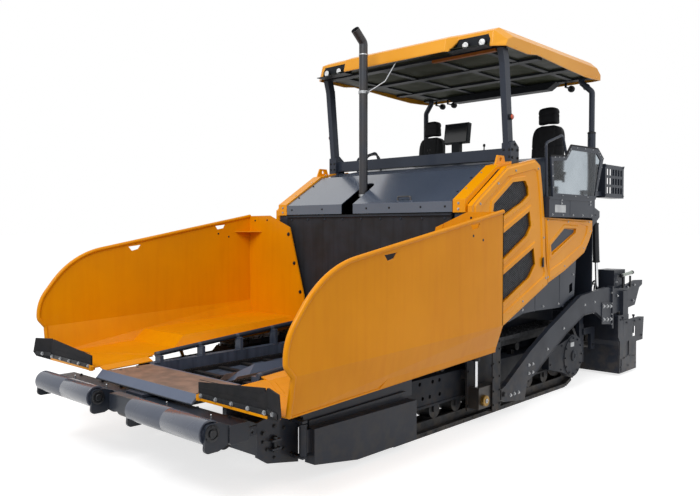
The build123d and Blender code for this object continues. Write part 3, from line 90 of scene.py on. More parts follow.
def joined(tree, first, second, how):
    """Two values as one: MULTIPLY for both masks, MAXIMUM for either."""
    return add(tree, "ShaderNodeMath", [(first, 0), (second, 1)], operation=how).outputs[0]


def new_material(name):
    """A new material, its node tree and its shader."""
    material = bpy.data.materials.new(name)
    material.use_nodes = True
    return material, material.node_tree, material.node_tree.nodes["Principled BSDF"]


def surface(name, colour, second, patch_mm, rough, spread=0.12, metal=0.0, coat=0.0, grain_mm=3, grain_depth=0.04,
            soil=None, soil_top=0.0, soil_share=0.6, wear_and_highlight=None, wear_and_highlight_mm=4.0, streaks=0.0, other=None):
    """A finish that drifts slowly between two colours, with grain, soil below a height and a colour on its edges, which
    is rubbed wear on most finishes and a painted highlight on some.

    other is (colour, function): where the function's mask is 1 the surface has that colour instead.
    """
    material, tree, shader = new_material(name)
    for key, value in (("Metallic", metal), ("Coat Weight", coat), ("Coat Roughness", 0.12),
                       ("Specular IOR Level", 0.5 if metal else 0.12 + 0.4 * coat)):
        shader.inputs[key].default_value = value
    place = add(tree, "ShaderNodeTexCoord").outputs["Object"]

    def over(under, amount, code, **how):
        return add(tree, "ShaderNodeMix", [(amount, 0), (under, 6)], {7: linear(code)}, data_type="RGBA",
                   **how).outputs[2]

    drift = noise(tree, place, 1000 / patch_mm, 4.0)
    tone = add(tree, "ShaderNodeMix", [(remap(tree, drift, 0.35, 0.65), 0)], {6: linear(colour), 7: linear(second)},
               data_type="RGBA").outputs[2]
    if streaks:
        tall = add(tree, "ShaderNodeMapping", [(place, "Vector")], {"Scale": (14.0, 14.0, 1.2)}).outputs[0]
        faint = remap(tree, noise(tree, tall, 1.0, 3.0), 0.45, 0.75, 0.0, streaks)
        tone = over(tone, faint, second, blend_type="MULTIPLY")
    if other:
        tone = over(tone, other[1](tree, place), other[0])
    if soil:
        height = add(tree, "ShaderNodeSeparateXYZ", [(place, 0)]).outputs["Z"]
        clods = remap(tree, noise(tree, place, 9.0, 6.0), 0.4, 0.62)
        tone = over(tone, joined(tree, remap(tree, height, soil_top, 0.0, 0.0, soil_share), clods, "MULTIPLY"), soil)
    # The edge colour is rubbed wear on most finishes, and a painted highlight on the amber enamel and the canopy
    # laminate.
    if wear_and_highlight:
        bent = add(tree, "ShaderNodeBevel", inputs={"Radius": wear_and_highlight_mm * MM}, samples=4).outputs[0]
        flat = add(tree, "ShaderNodeNewGeometry").outputs["Normal"]
        turn = add(tree, "ShaderNodeVectorMath", [(bent, 0), (flat, 1)], operation="DOT_PRODUCT").outputs["Value"]
        tone = over(tone, joined(tree, remap(tree, turn, 0.97, 0.86), drift, "MULTIPLY"), wear_and_highlight)
    tree.links.new(tone, shader.inputs["Base Color"])
    tree.links.new(remap(tree, drift, 0.3, 0.7, rough - spread / 2, rough + spread / 2), shader.inputs["Roughness"])
    relief = add(tree, "ShaderNodeBump", [(noise(tree, place, 1000 / grain_mm, 2.0), "Height")],
                 {"Strength": 0.25, "Distance": grain_depth * MM})
    tree.links.new(relief.outputs[0], shader.inputs["Normal"])
    return material


def break_edges(thing, name, edge_mm, degrees=35):
    """The small radius that cut, pressed and moulded edges have."""
    rounding = thing.modifiers.new(name, "BEVEL")
    rounding.width = edge_mm * MM
    rounding.segments = 2
    rounding.limit_method = "ANGLE"
    rounding.angle_limit = math.radians(degrees)


def dress(material, edge_mm, *nodes):
    """Give CAD nodes their finish and their broken edges."""
    for thing in (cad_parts[node] for node in nodes):
        for place in thing.material_slots:
            place.material = material
        if not thing.material_slots:
            thing.data.materials.append(material)
        if edge_mm:
            break_edges(thing, "broken edges", edge_mm)


def placed(name, data):
    """A new object in the scene."""
    thing = bpy.data.objects.new(name, data)
    bpy.context.scene.collection.objects.link(thing)
    return thing


def ring(count, radius=1.0, first=0.0):
    """Places on a circle, from an angle in degrees."""
    angles = (math.radians(first) + math.tau * i / count for i in range(count))
    return [(radius * math.cos(angle), radius * math.sin(angle)) for angle in angles]


class Work:
    """A piece in the making: its parts are given in millimetres for the left, and drawn on both sides or on one."""

    def __init__(self, *signs):
        self.mesh = bmesh.new()
        self.signs = signs or (1, -1)

    def faces(self, rings, caps=(0, -1)):
        """Faces between rings of places with the same count, and over the rings named as caps."""
        rings = [[self.mesh.verts.new(spot) for spot in line] for line in rings]
        for one, two in zip(rings, rings[1:]):
            for i in range(len(one)):
                j = (i + 1) % len(one)
                self.mesh.faces.new((one[i], one[j], two[j], two[i]))
        for index in caps:
            self.mesh.faces.new(rings[index])

    def skin(self, lines, caps=(0, -1)):
        """A shell over closed lines of (X, Y, Z) corners."""
        for sign in self.signs:
            self.faces([[at(x * sign, y, z) for x, y, z in line] for line in lines], caps)

    def prism(self, corners, push):
        """A plate from its corners, thickened by one push."""
        self.skin([corners, [(x + push[0], y + push[1], z + push[2]) for x, y, z in corners]])

    def plate(self, outline, axis, low, high):
        """A flat plate: its outline in (Y, Z), (X, Z) or (X, Y), between two levels of the third axis."""
        order = {"X": (2, 0, 1), "Y": (0, 2, 1), "Z": (0, 1, 2)}[axis]
        self.skin([[tuple((a, b, level)[i] for i in order) for a, b in outline] for level in (low, high)])

    def bar(self, x0, x1, y0, y1, z0, z1):
        """A rectangular bar between three pairs of faces."""
        self.plate([(x0, y0), (x1, y0), (x1, y1), (x0, y1)], "Z", z0, z1)

    def turned(self, spot, way, profile, sides=12):
        """A round part on an axis: profile holds (distance along, radius) pairs."""
        for sign in self.signs:
            axis = Vector((way[0] * sign, way[1], way[2])).normalized()
            across = axis.orthogonal().normalized()
            other = axis.cross(across)
            start = at(spot[0] * sign, spot[1], spot[2])
            self.faces([[start + axis * along * MM + (across * c + other * s) * radius * MM for c, s in ring(sides)]
                        for along, radius in profile])

    def beads(self, places, radius, sides=6):
        """Straight round beads or seams along a run of places."""
        for start, end in zip(places, places[1:]):
            way = Vector(end) - Vector(start)
            self.turned(start, way, [(0, radius), (way.length, radius)], sides)

    def bolts(self, spots, way=OUT, across=24.0):
        """Hexagon bolt heads on their washers."""
        for spot in spots:
            self.turned(spot, way, [(-1, across * 0.775), (across * 0.12, across * 0.775)], 14)
            self.turned(spot, way, [(across * 0.1, across * 0.55), (across * 0.5, across * 0.55),
                                    (across * 0.62, across * 0.45)], 6)

    def form(self, name):
        """The worked faces as mesh data, facing outwards."""
        data = bpy.data.meshes.new(name)
        bmesh.ops.recalc_face_normals(self.mesh, faces=self.mesh.faces[:])
        self.mesh.to_mesh(data)
        self.mesh.free()
        return data

    def made(self, name, material, slot, body="machine", smooth=False):
        """The finished piece, on its body."""
        data = self.form(name)
        if smooth:
            data.shade_smooth()
            data.set_sharp_from_angle(angle=math.radians(35))
        thing = placed(name, data)
        data.materials.append(material)
        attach(thing, body)
        return thing


def on(x, *spots):
    """Places (Y, Z) on a level of X."""
    return [(x, y, z) for y, z in spots]


def tube(name, sign, points, radius_mm, material, body="machine", order=3):
    """A bent tube or fixed hose along its bend points."""
    line = bpy.data.curves.new(name, "CURVE")
    line.dimensions = "3D"
    line.bevel_depth = radius_mm * MM
    line.bevel_resolution = 2
    line.resolution_u = 6
    line.use_fill_caps = True
    run = line.splines.new("NURBS")
    run.points.add(len(points) - 1)
    for place, (x, y, z) in zip(run.points, points):
        place.co = (*at(x * sign, y, z), 1.0)
    run.order_u = order
    run.use_endpoint_u = True
    line.materials.append(material)
    thing = placed(name, line)
    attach(thing, body)


track_steel = surface("phosphated track steel", "#2B2D31", "#1B1C1F", 90, 0.55, metal=0.55, grain_mm=6,
                      grain_depth=0.3, soil="#4B443B", soil_top=0.9, wear_and_highlight="#6B6C6E")
dress(track_steel, 0, "track_left", "track_right")
dress(track_steel, 3, "track_wheels")
frame_paint = surface("slate enamel on cast and rolled steel", "#262B34", "#20242C", 400, 0.45, grain_depth=0.08,
                      soil="#4A443D", soil_top=0.7, wear_and_highlight="#5C5F64")
dress(frame_paint, 4, "track_frames")
dress(frame_paint, 5, "drive_covers")
SHOE_PITCH = 171.45
IDLER = (2200, 400)
SPROCKET = (5750, 434)
shoe_middle = (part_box("track_left")[0].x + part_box("track_left")[1].x) / 2 / MM
for side, sign in SIDES:
    work = Work(sign)
    for x in (shoe_middle - 118, shoe_middle - 62, shoe_middle + 62, shoe_middle + 118):
        for step in range(int((SPROCKET[0] - IDLER[0]) / SHOE_PITCH)):
            along = (step + 0.5) * SHOE_PITCH
            top = 2 * (IDLER[1] + (SPROCKET[1] - IDLER[1]) * along / (SPROCKET[0] - IDLER[0]))
            work.bolts([(x, IDLER[0] + along, top - 1)], UP, 20)
        for c, s in ring(24, first=90)[:12]:
            work.bolts([(x, IDLER[0] + (IDLER[1] - 1) * c, IDLER[1] + (IDLER[1] - 1) * s)], (0, c, s), 20)
    work.made(f"shoe_bolts_{side}", track_steel, "track_steel")
work = Work()
work.bolts(on(1380, *[(SPROCKET[0] + c, SPROCKET[1] + s) for c, s in ring(12, 232)]), OUT, 22)
work.bolts(on(1370, (5130, 400), (5130, 540), (5420, 300), (5440, 600)), OUT, 20)
work.turned((1380, *SPROCKET), OUT, [(-1, 70), (10, 70), (14, 64), (14, 30), (6, 26)], 32)
work.made("drive_cover_bolts", frame_paint, "frame_steel", smooth=True)

# Main frame: welded plate sills, cheeks and engine bed, blasted and sprayed with slate enamel. The
# satin coat is even, with soil near the ground; bolts and pins are plated and dull.
slate = surface("slate enamel on welded plate", "#2B313C", "#262B35", 500, 0.36, coat=0.12, grain_depth=0.05,
                soil="#4C463E", soil_top=0.75, soil_share=0.4, wear_and_highlight="#5E646E", wear_and_highlight_mm=3)
dress(slate, 3, "main_frame", "track_guard_left", "track_guard_right")
zinc = surface("zinc plated steel", "#B9BBBD", "#8F9194", 40, 0.35, metal=0.9, grain_mm=2, grain_depth=0.02)
black_steel = surface("blacked steel fastener", "#222428", "#17181B", 40, 0.45, metal=0.4, grain_mm=2,
                      grain_depth=0.05)
work = Work()
work.bolts(on(1215, (600, 470)), OUT, 30)
work.bolts(on(1215, (720, 505), (820, 470), (820, 300)), OUT, 26)
work.bolts(on(1215, (600, 400), (640, 330), (900, 520), (900, 240), (720, 250)), OUT, 22)
work.turned((1236, 712, 300), UP,
            [(0, 22), (0, 22), (20, 22), (20, 15), (108, 15), (108, 22), (126, 22), (130, 16)], 16)
work.made("cheek_bolts", black_steel, "frame_steel", smooth=True)
for side, sign in SIDES:
    work = Work(sign)
    for y in range(1050, 2320, 26):
        work.turned((1303, y, 452), REAR, [(0, 3), (4, 6), (20, 6), (24, 3)], 8)
    work.made(f"guard_weld_{side}", slate, "slate_paint", f"track_guard_{side}", True)

# Push beam and rollers: a bevelled box beam on one centre pin, with two turned steel rollers on fixed
# shafts. Slate enamel, glossier on the rollers, where the sky shows as a pale band along the top; the
# rollers' enamel is also drawn lighter than the beam's, as painted sheen.
beam_paint = surface("slate enamel on box beam", "#272D37", "#222730", 500, 0.34, coat=0.15, grain_depth=0.05,
                     soil="#554C42", soil_top=0.62, soil_share=0.5, wear_and_highlight="#6A655E", wear_and_highlight_mm=4)
dress(beam_paint, 4, "push_beam")
# The rollers' slate is lighter than the beam's slate: painted sheen, on top of the coat's own reflection of the sky.
roller_enamel_painted_sheen = surface("gloss slate enamel on turned roller", "#4A505E", "#434957", 300, 0.28, coat=0.5,
                       grain_depth=0.03, wear_and_highlight="#5F5A55", wear_and_highlight_mm=5)
low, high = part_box("push_roller_left")
ROLLER_IN, ROLLER_OUT, ROLLER_Z = low.x / MM, high.x / MM, (low.z + high.z) / 2 / MM
ROLLER_R = 94
long = ROLLER_OUT - ROLLER_IN
for side, sign in SIDES:
    work = Work(sign)
    work.turned((ROLLER_IN, 0, ROLLER_Z), OUT,
                [(0, 28.5), (0, 50), (12, 50), (12, 80), (0, 80), (0, 91), (3, ROLLER_R), (long / 2 - 2, ROLLER_R),
                 (long / 2, ROLLER_R - 0.8), (long / 2 + 2, ROLLER_R), (long - 3, ROLLER_R), (long, 91), (long, 80),
                 (long - 12, 80), (long - 12, 50), (long, 50), (long, 28.5)], 48)
    roller = work.made(f"roller_drum_{side}", roller_enamel_painted_sheen, "slate_paint", f"push_roller_{side}", True)
    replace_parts(roller, f"push_roller_{side}")
work = Work()
for x, out in ((ROLLER_OUT + 30, 1), (ROLLER_IN - 30, -1)):
    work.turned((x, 0, ROLLER_Z), (out, 0, 0), [(-1, 62), (6, 62), (10, 56), (10, 44), (4, 42)], 28)
    work.turned((x, 0, ROLLER_Z), (out, 0, 0), [(0, 30), (16, 30), (20, 26)], 20)
    work.bar(x, x + 8 * out, -34, 34, ROLLER_Z + 34, ROLLER_Z + 58)
    work.bolts([(x + 6 * out, c, ROLLER_Z + s) for c, s in ring(3, 50, 90)], (out, 0, 0), 16)
work.bolts([(x, 300, 650) for x in (420, 760, 1180)], UP, 22)
work.made("roller_caps", black_steel, "frame_steel", "push_beam", True)
work = Work()
for x in (490, 1090):
    work.turned((x, 192, 650), UP, [(-2, 9), (8, 9), (8, 6), (18, 6), (24, 9), (30, 5)])
work.made("grease_nipples", zinc, "bright_rod", "push_beam", True)
worn_lip = surface("slate enamel worn to steel", "#5A5552", "#4A4B50", 120, 0.42, metal=0.25, grain_mm=5,
                   grain_depth=0.1, wear_and_highlight="#7A7470", wear_and_highlight_mm=5)
work = Work(1)
work.plate([(-178, 66), (178, 66), (178, 122), (150, 140), (-150, 140), (-178, 122)], "Z", 660, 667)
work.made("beam_centre_plate", worn_lip, "slate_paint", "push_beam")

# Conveyor and apron: a bolted wear plate under two slat conveyors, their chains at the sides, and a
# folded cover over the middle. Hot mix has scoured the apron to brown steel; the rest is slate enamel.
def band(tree, place, axis, low, high):
    """Mask that is 1 between two stations of one axis, in millimetres; X counts from the middle."""
    level = add(tree, "ShaderNodeSeparateXYZ", [(place, 0)]).outputs[axis]
    if axis == "X":
        level = add(tree, "ShaderNodeMath", [(level, 0)], operation="ABSOLUTE").outputs[0]
    shift = AXIS_Y if axis == "Y" else 0.0
    middle, half = (low + high) / 2 * MM + shift, (high - low) / 2 * MM
    return add(tree, "ShaderNodeMath", [(level, 0)], {1: middle, 2: half}, operation="COMPARE").outputs[0]


def apron_ends(tree, place):
    """Mask of the apron's front lip and rear fold, which keep their enamel."""
    return joined(tree, band(tree, place, "Y", 0, 306), band(tree, place, "Y", 768, 900), "MAXIMUM")


apron_steel = surface("scoured apron plate", "#8A7264", "#6B5A50", 130, 0.5, metal=0.25, grain_mm=6,
                      grain_depth=0.15, wear_and_highlight="#A39082", wear_and_highlight_mm=6, other=("#5A6478", apron_ends))
work = Work(1)
work.plate([(306, 744), (306, 756), (790, 754), (790, 742)], "X", -700, 700)
work.plate([(234, 692), (246, 686), (318, 743), (318, 756), (300, 762)], "X", -765, 765)
work.bar(-700, 700, 772, 790, 600, 750)
work.bar(-180, 180, 430, 450, 678, 750)
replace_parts(work.made("apron_plate", apron_steel, "worn_plate"), "hopper_apron")
deck_paint = surface("slate enamel scoured by mix", "#4B5363", "#3E4654", 220, 0.4, coat=0.2, grain_mm=5,
                     grain_depth=0.08, wear_and_highlight="#7E7469", wear_and_highlight_mm=6, streaks=0.5)
dress(deck_paint, 2, "conveyor_deck")
chain_steel = surface("oiled conveyor chain", "#1F2023", "#2C2A29", 60, 0.42, metal=0.5, grain_mm=4,
                      grain_depth=0.1, wear_and_highlight="#6A6560",
                      other=("#525B6D", lambda tree, place: band(tree, place, "X", 0, 96)))
dress(chain_steel, 2, "conveyor_chains")
wall_paint = surface("slate enamel with bitumen film", "#303238", "#2B2A2B", 260, 0.5, grain_mm=6, grain_depth=0.12,
                     wear_and_highlight="#45433F", streaks=0.3)
dress(wall_paint, 2, "hopper_back")
work = Work()
for x in (133, 657):
    for y in range(872, 872 + 33 * 68, 68):
        for near in (x - 20, x + 14):
            work.bar(near, near + 6, y, y + 58, 616, 648)
        work.turned((x - 22, y + 30, 632), OUT, [(0, 9), (44, 9)], 8)
work.made("conveyor_links", chain_steel, "track_steel")
work = Work()
work.turned((700, 240, 688), OUT, [(0, 9), (64, 9), (70, 5)], 10)
for y in (420, 600):
    work.turned((640, y, 755), UP, [(-1, 16), (3, 15), (4, 9), (2, 8)], 14)
work.signs = (1,)
work.turned((-700, 240, 688), OUT, [(0, 8), (1400, 8)], 10)
work.made("apron_lip_rod", beam_paint, "slate_paint", smooth=True)
work = Work(1)
work.bar(-1262, 1262, 3108, 3130, 2238, 2246)
work.bolts([(x, 3130, 2206) for x in range(-1180, 1181, 295)], FRONT, 18)
work.bolts([(x, 3130, z) for x in (-712, 712) for z in (1090, 1180)], FRONT, 22)
work.made("hopper_wall_flange", slate, "slate_paint")
work = Work()
work.plate([(1150, 612), (1560, 612), (1560, 668), (1240, 668)], "X", 91, 94)
work.made("ridge_wear_plates", apron_steel, "worn_plate")

# Hopper wings: pressed steel pans with a rolled rail, hinged on the side beams and folded by one
# cylinder each. Amber enamel, scuffed on the floor, drawn a deeper orange on the wings as painted shade;
# the brighter amber of the lugs and flap edge carries painted sunlight and painted edge highlights. A
# rubber flap is bolted on in front.
# The wing pans' amber is darker and more orange than the amber below it: painted shade on the wings.
wing_amber_painted_shade = surface("amber enamel on pressed steel", "#E39100", "#DA8A00", 700, 0.36, coat=0.06, wear_and_highlight="#C98F35",
                     wear_and_highlight_mm=3, streaks=0.12)
# This amber is yellower than the wings' as painted sunlight, and its pale edge colour is a painted highlight along the
# edges.
amber = surface("amber enamel on sheet steel", "#F2A000", "#E99600", 700, 0.3, coat=0.15, grain_depth=0.03,
                wear_and_highlight="#F2B95A", wear_and_highlight_mm=3)
rubber = surface("fabric reinforced rubber", "#1D1E20", "#27272A", 90, 0.68, grain_depth=0.2, wear_and_highlight="#3A3B3D",
                 soil="#4C463E", soil_top=1.2, soil_share=0.3)
cylinder_paint = surface("black enamel on honed tube", "#23262B", "#1E2025", 200, 0.35, coat=0.2, wear_and_highlight="#4C4F54")
chrome = surface("hard chromed rod", "#D5D6D8", "#C6C8CB", 300, 0.14, 0.04, metal=1.0, grain_mm=2, grain_depth=0.005)
WING_FACE, WING_FRONT, WING_REAR, WING_TOP = 1925, 280, 3058, 2262
HINGE_RISE = 0.0737
SLOTS = (((2483, 2128), (2516, 2084), (2613, 2101), (2638, 2146)),
         ((1255, 1888), (1296, 1839), (1378, 1859), (1416, 1907)))


def rounded(points, radii):
    """Corners of an open line in a plane, where each inner corner is bent by its radius."""
    line = [points[0]]
    for before, corner, after in zip(points, points[1:], points[2:]):
        here, radius = Vector(corner), radii[corner]
        to_last, to_next = (Vector(before) - here).normalized(), (Vector(after) - here).normalized()
        half = to_last.angle(to_next) / 2
        centre = here + (to_last + to_next).normalized() * radius / math.sin(half)
        start = here + to_last * radius / math.tan(half) - centre
        end = here + to_next * radius / math.tan(half) - centre
        line += [tuple(centre + start.lerp(end, step / 12).normalized() * radius) for step in range(13)]
    return line + [points[-1]]


WALL_EDGE = rounded([(WING_REAR, WING_TOP), (584, 1806), (208, 1325), (208, 1150), (WING_FRONT, 1065)],
                    {(584, 1806): 900, (208, 1325): 400, (208, 1150): 60})


def level(x, y, rise=0.0):
    """A place on a wing's floor, or above it."""
    return x, y, 775 + 0.042 * (y - WING_FRONT) + rise


def hinge(x, y):
    """A place at the height of a wing's hinge line."""
    return x, y, 775 + HINGE_RISE * (y - WING_FRONT)


def slotted_wall():
    """The outer wall's edge with its two long slots reached by a saw cut from above."""
    edge = [WALL_EDGE[0]]
    for slot in SLOTS:
        y, z = slot[-1]
        top = WING_TOP - 0.18432 * (WING_REAR - y)
        edge += [(y + 0.1, top), (y + 0.1, z), *slot[2::-1], (y - 0.1, z), (y - 0.1, top)]
    return edge + WALL_EDGE[1:] + [(WING_REAR, 1150)]


def wing_shell(work):
    """One wing: floor with its strip up to the hinge, leaning lower panel, wall, rear flap and cover."""
    rear = WING_REAR - 12
    foot, nose, heel = level(1867, 280), (1925, 280, 1065), (1925, 3058, 1150)
    work.prism([level(865, 280), level(1871, 280), level(1842, 3058), level(930, 3058), level(930, 910),
                level(865, 910)], (0, 0, -12))
    for y in (910 + 214.8 * step for step in range(10)):
        work.prism([hinge(832, y), level(931, y), level(931, y + 214.8), hinge(832, y + 214.8)], (0, 0, -10))
    work.prism([level(869, 325), level(869, 850), level(775, 850, -30), level(775, 325, -30)], (0, 0, -9))
    work.prism([foot, nose, heel], (-12, 0, 0))
    work.prism([foot, heel, level(1838, 3058)], (-12, 0, 0))
    work.plate(slotted_wall(), "X", WING_FACE - 12, WING_FACE)
    work.plate([(1925, 1150), (1925, WING_TOP), (1510, 2264), (1130, 2112), (872, 1260), (840, 884), (1834, 884)],
               "Y", rear, WING_REAR)
    work.plate([(1130, 2112), (872, 1260), (840, 884), (940, 894), (975, 1240), (1225, 2148)], "Y", rear - 6, rear)
    work.plate([(1912, 3045), (1912, 2798), (1665, 3045)], "Z", 2050, 2060)
    work.bar(870, 1785, 252, 282, 745, 775)
    work.skin([[level(1030, 1270), level(1866, 1270), level(1848, rear), level(1030, rear)],
               [level(1090, 1430, 105), level(1884, 1430, 105), level(1862, rear, 105), level(1090, rear, 105)]], (-1,))


def wing_knuckles(work):
    """The wing's hinge tubes between the fixed lugs, each with its web to the floor."""
    lean = math.atan(HINGE_RISE)
    step = ((WING_REAR - WING_FRONT) / math.cos(lean) - 740) / 4
    for i in range(4):
        start, end = 620 + i * step + 46, 620 + (i + 1) * step - 6
        y0, y1 = WING_FRONT + start * math.cos(lean), WING_FRONT + end * math.cos(lean)
        work.turned(hinge(800, y0), (0, math.cos(lean), math.sin(lean)),
                    [(0, 22), (3, 26), (end - start - 3, 26), (end - start, 22)], 20)
        work.prism([hinge(800, y0), hinge(836, y0), hinge(836, y1), hinge(800, y1)], (0, 0, -12))


def flap_front(x):
    """Front face of the rubber flap, which is bent forward at its outer end."""
    return 238 - max(0.0, x - 1695) * 84 / 220


for side, sign in SIDES:
    body = f"wing_{side}"
    work = Work(sign)
    wing_shell(work)
    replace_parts(work.made(f"wing_pan_{side}", wing_amber_painted_shade, "yellow_paint", body), f"wing_{side}")
    work = Work(sign)
    wing_knuckles(work)
    work.made(f"wing_knuckles_{side}", slate, "slate_paint", body, True)
    tube(f"wing_rail_{side}", sign, [(WING_FACE - 6, y, z) for y, z in WALL_EDGE] + [(1867, 280, 775)], 22, wing_amber_painted_shade,
         body, 2)
    work = Work(sign)
    work.plate([(862, 742), (1700, 742), (1700, 963), (1688, 962), (1668, 925), (1657, 958), (862, 886)], "Y", 238, 252)
    bent = [(1697, 742), (1885, 772), (1924, 813), (1893, 958), (1697, 963)]
    work.prism([(x, flap_front(x), z) for x, z in bent], (0, 14, 0))
    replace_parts(work.made(f"rubber_flap_{side}", rubber, "flap_rubber", body), f"wing_flap_{side}")
    dress(amber, 2, f"wing_lugs_{side}")
    dress(cylinder_paint, 2, f"wing_barrel_{side}")
    dress(chrome, 0, f"wing_rod_{side}")
    work = Work(sign)
    work.bolts([(1145, 3040, 2025), (1040, 3040, 1663), (933, 3040, 1309), (893, 3040, 1010)], FRONT, 30)
    work.bolts([(1300, 3046, 2200), (1560, 3046, 2205), (1800, 3046, 2200)], FRONT, 16)
    # The two drilled holes in the wall are drawn as dark plugs on both faces: painted shade in the bores.
    for y, z in ((2529, 2030), (2694, 1990)):
        for x, out in ((WING_FACE, 1), (WING_FACE - 12, -1)):
            work.turned((x, y, z), (out, 0, 0), [(-1, 13), (1, 13), (2, 10), (0.5, 9)], 16)
    work.made(f"wing_bolts_{side}", black_steel, "frame_steel", body, True)
    work = Work(sign)
    for run in (((1566, 603), (1261, 710), (1036, 846), (902, 919), (934, 998)), ((870, 999), (1348, 713))):
        work.beads([level(*spot) for spot in run], 3.2)
    for y in (1500, 2000, 2500):
        work.turned(level(1150, y, 105), OUT, [(0, 2.4), (680, 2.4)], 6)
    cover_top = level(0, 2021, 105)[2]
    for x, y in ((1646, 2021), (1377, 2024)):
        work.bar(x - 26, x + 26, y - 9, y + 9, cover_top - 2, cover_top + 3)
    work.made(f"wing_seams_{side}", wing_amber_painted_shade, "yellow_paint", body)
    work = Work(sign)
    work.plate([(872, 764), (1690, 764), (1690, 804), (872, 804)], "Y", 231, 239)
    work.plate([(1693, 231), (1882, 160), (1882, 167), (1693, 239)], "Z", 784, 822)
    work.made(f"flap_strip_{side}", black_steel, "frame_steel", body)
    work = Work(sign)
    work.bolts([(x, 231, 784) for x in (905, 1095, 1290, 1480, 1665)], FRONT)
    work.bolts([(1800, 190, 803)], (-0.36, -0.93, 0))
    work.made(f"flap_bolts_{side}", zinc, "bright_rod", body, True)
    work = Work(sign)
    work.plate([(866, 744), (1694, 744), (1694, 764), (866, 764)], "Y", 229, 239)
    work.plate([(846, 742), (884, 742), (884, 800), (846, 786)], "Y", 225, 253)
    work.made(f"flap_edge_{side}", amber, "yellow_paint", body)
    work = Work(sign)
    for z in (846, 905):
        work.plate([(880, z), (1640, z + 12), (1640, z + 16), (880, z + 4)], "Y", 236, 239)
    work.made(f"flap_ribs_{side}", rubber, "flap_rubber", body)

# Hood and shoulders: a pressed lid between two folded shoulders. Gloss slate enamel that mirrors the
# sky, and amber shoulders with welded lifting eyes; a black bow handle is screwed on in front.
def above_lid(tree, place):
    """Mask of what stands on the lid's front slope: the bow handle."""
    parts = add(tree, "ShaderNodeSeparateXYZ", [(place, 0)])
    slope = add(tree, "ShaderNodeMath", [(parts.outputs["Y"], 0)],
                {1: 0.61, 2: 2.385 - 0.61 * (AXIS_Y + 3.13) + 0.006}, operation="MULTIPLY_ADD").outputs[0]
    return add(tree, "ShaderNodeMath", [(parts.outputs["Z"], 0), (slope, 1)], operation="GREATER_THAN").outputs[0]


hood_enamel = surface("gloss slate enamel on pressed steel", "#4A5364", "#434C5C", 800, 0.2, 0.06, coat=0.8,
                      grain_mm=4, grain_depth=0.01, wear_and_highlight="#6A7384", wear_and_highlight_mm=3, other=("#17181A", above_lid))
dress(hood_enamel, 4, "hood_lid")
dress(amber, 5, "hood_shoulders")
work = Work()
work.bolts(on(1225, (3300, 2489), (3560, 2648)), (0, -0.52, 0.85), 16)
work.signs = (1,)
work.bolts([(x, 3130, 2330) for x in (-1180, -640, 80, 420, 860, 1180)], FRONT, 16)
work.made("lid_screws", black_steel, "frame_steel", "hood_lid", True)
work = Work()
work.plate([(3140, 2270), (3140, 2378), (3761, 2756), (4036, 2822), (4036, 2806), (3761, 2740), (3160, 2372),
            (3160, 2270)], "X", 1272.5, 1279)
work.made("hood_gasket", rubber, "flap_rubber")
work = Work()
work.bolts(on(1316, (3330, 2519), (3620, 2699), (3880, 2818)), (0, -0.5, 0.86), 18)
work.bolts(on(1350, (3130, 2300), (3130, 2360)), FRONT, 18)
work.made("shoulder_bolts", zinc, "bright_rod", smooth=True)

# Side doors: pressed panels with a bevelled rim and three framed openings, closed by expanded metal in
# a dark frame; the near black sheet behind the mesh is painted shade, and the mesh is drawn lighter as
# painted light. Amber enamel, with painted highlights on its edges; plated bolts hold the seams.
DOOR_WINDOWS = (
    ((3541, 2281), (3761, 2232), (4171, 2395), (4301, 2474), (4290, 2568), (4224, 2639), (3949, 2608), (3559, 2361)),
    ((3440, 1915), (3440, 1640), (3769, 1764), (4271, 2012), (4366, 2125), (4324, 2296), (3765, 2052)),
    ((3440, 1455), (3440, 1160), (3816, 1317), (4335, 1536), (4468, 1684), (4427, 1877), (3806, 1618)),
)
DOOR_EDGE = ((3192, 822), (4774, 1443), (4774, 1562), (4724, 1702), (4684, 2238), (4624, 2585), (4577, 2816),
             (4448, 2879), (3846, 2760), (3248, 2378), (3192, 2334))
DOOR_FIELD = ((3300, 1000), (4672, 1539), (4690, 1580), (4640, 1710), (4602, 2240), (4552, 2560), (4500, 2750),
              (4440, 2772), (3842, 2652), (3345, 2335), (3300, 2262))


def strands(outline, step, lean):
    """Ends of the parallel lines at a slope that lie inside an outline."""
    across = [z - lean * y for y, z in outline]
    level = min(across) + step / 2
    while level < max(across):
        cuts = []
        for (y0, z0), (y1, z1) in zip(outline, outline[1:] + outline[:1]):
            d0, d1 = z0 - lean * y0 - level, z1 - lean * y1 - level
            if (d0 < 0) != (d1 < 0):
                share = d0 / (d0 - d1)
                cuts.append((y0 + (y1 - y0) * share, z0 + (z1 - z0) * share))
        cuts.sort()
        yield from zip(cuts[::2], cuts[1::2])
        level += step


def grown(outline, out):
    """A closed outline moved outwards, with mitred corners."""
    area = sum(y0 * z1 - y1 * z0 for (y0, z0), (y1, z1) in zip(outline, outline[1:] + outline[:1]))
    turn = 1 if area > 0 else -1
    loop = []
    for i, (y1, z1) in enumerate(outline):
        y0, z0 = outline[i - 1]
        y2, z2 = outline[(i + 1) % len(outline)]
        before, after = math.hypot(y1 - y0, z1 - z0), math.hypot(y2 - y1, z2 - z1)
        n0, n1 = ((z1 - z0) / before, (y0 - y1) / before), ((z2 - z1) / after, (y1 - y2) / after)
        share = out * turn / (1 + n0[0] * n1[0] + n0[1] * n1[1])
        loop.append((y1 + (n0[0] + n1[0]) * share, z1 + (n0[1] + n1[1]) * share))
    return loop


def pressed_frame(work, *loops):
    """A raised frame from (outline, X) loops with the same count of corners, outer foot first."""
    work.skin([on(x, *outline) for outline, x in loops], ())
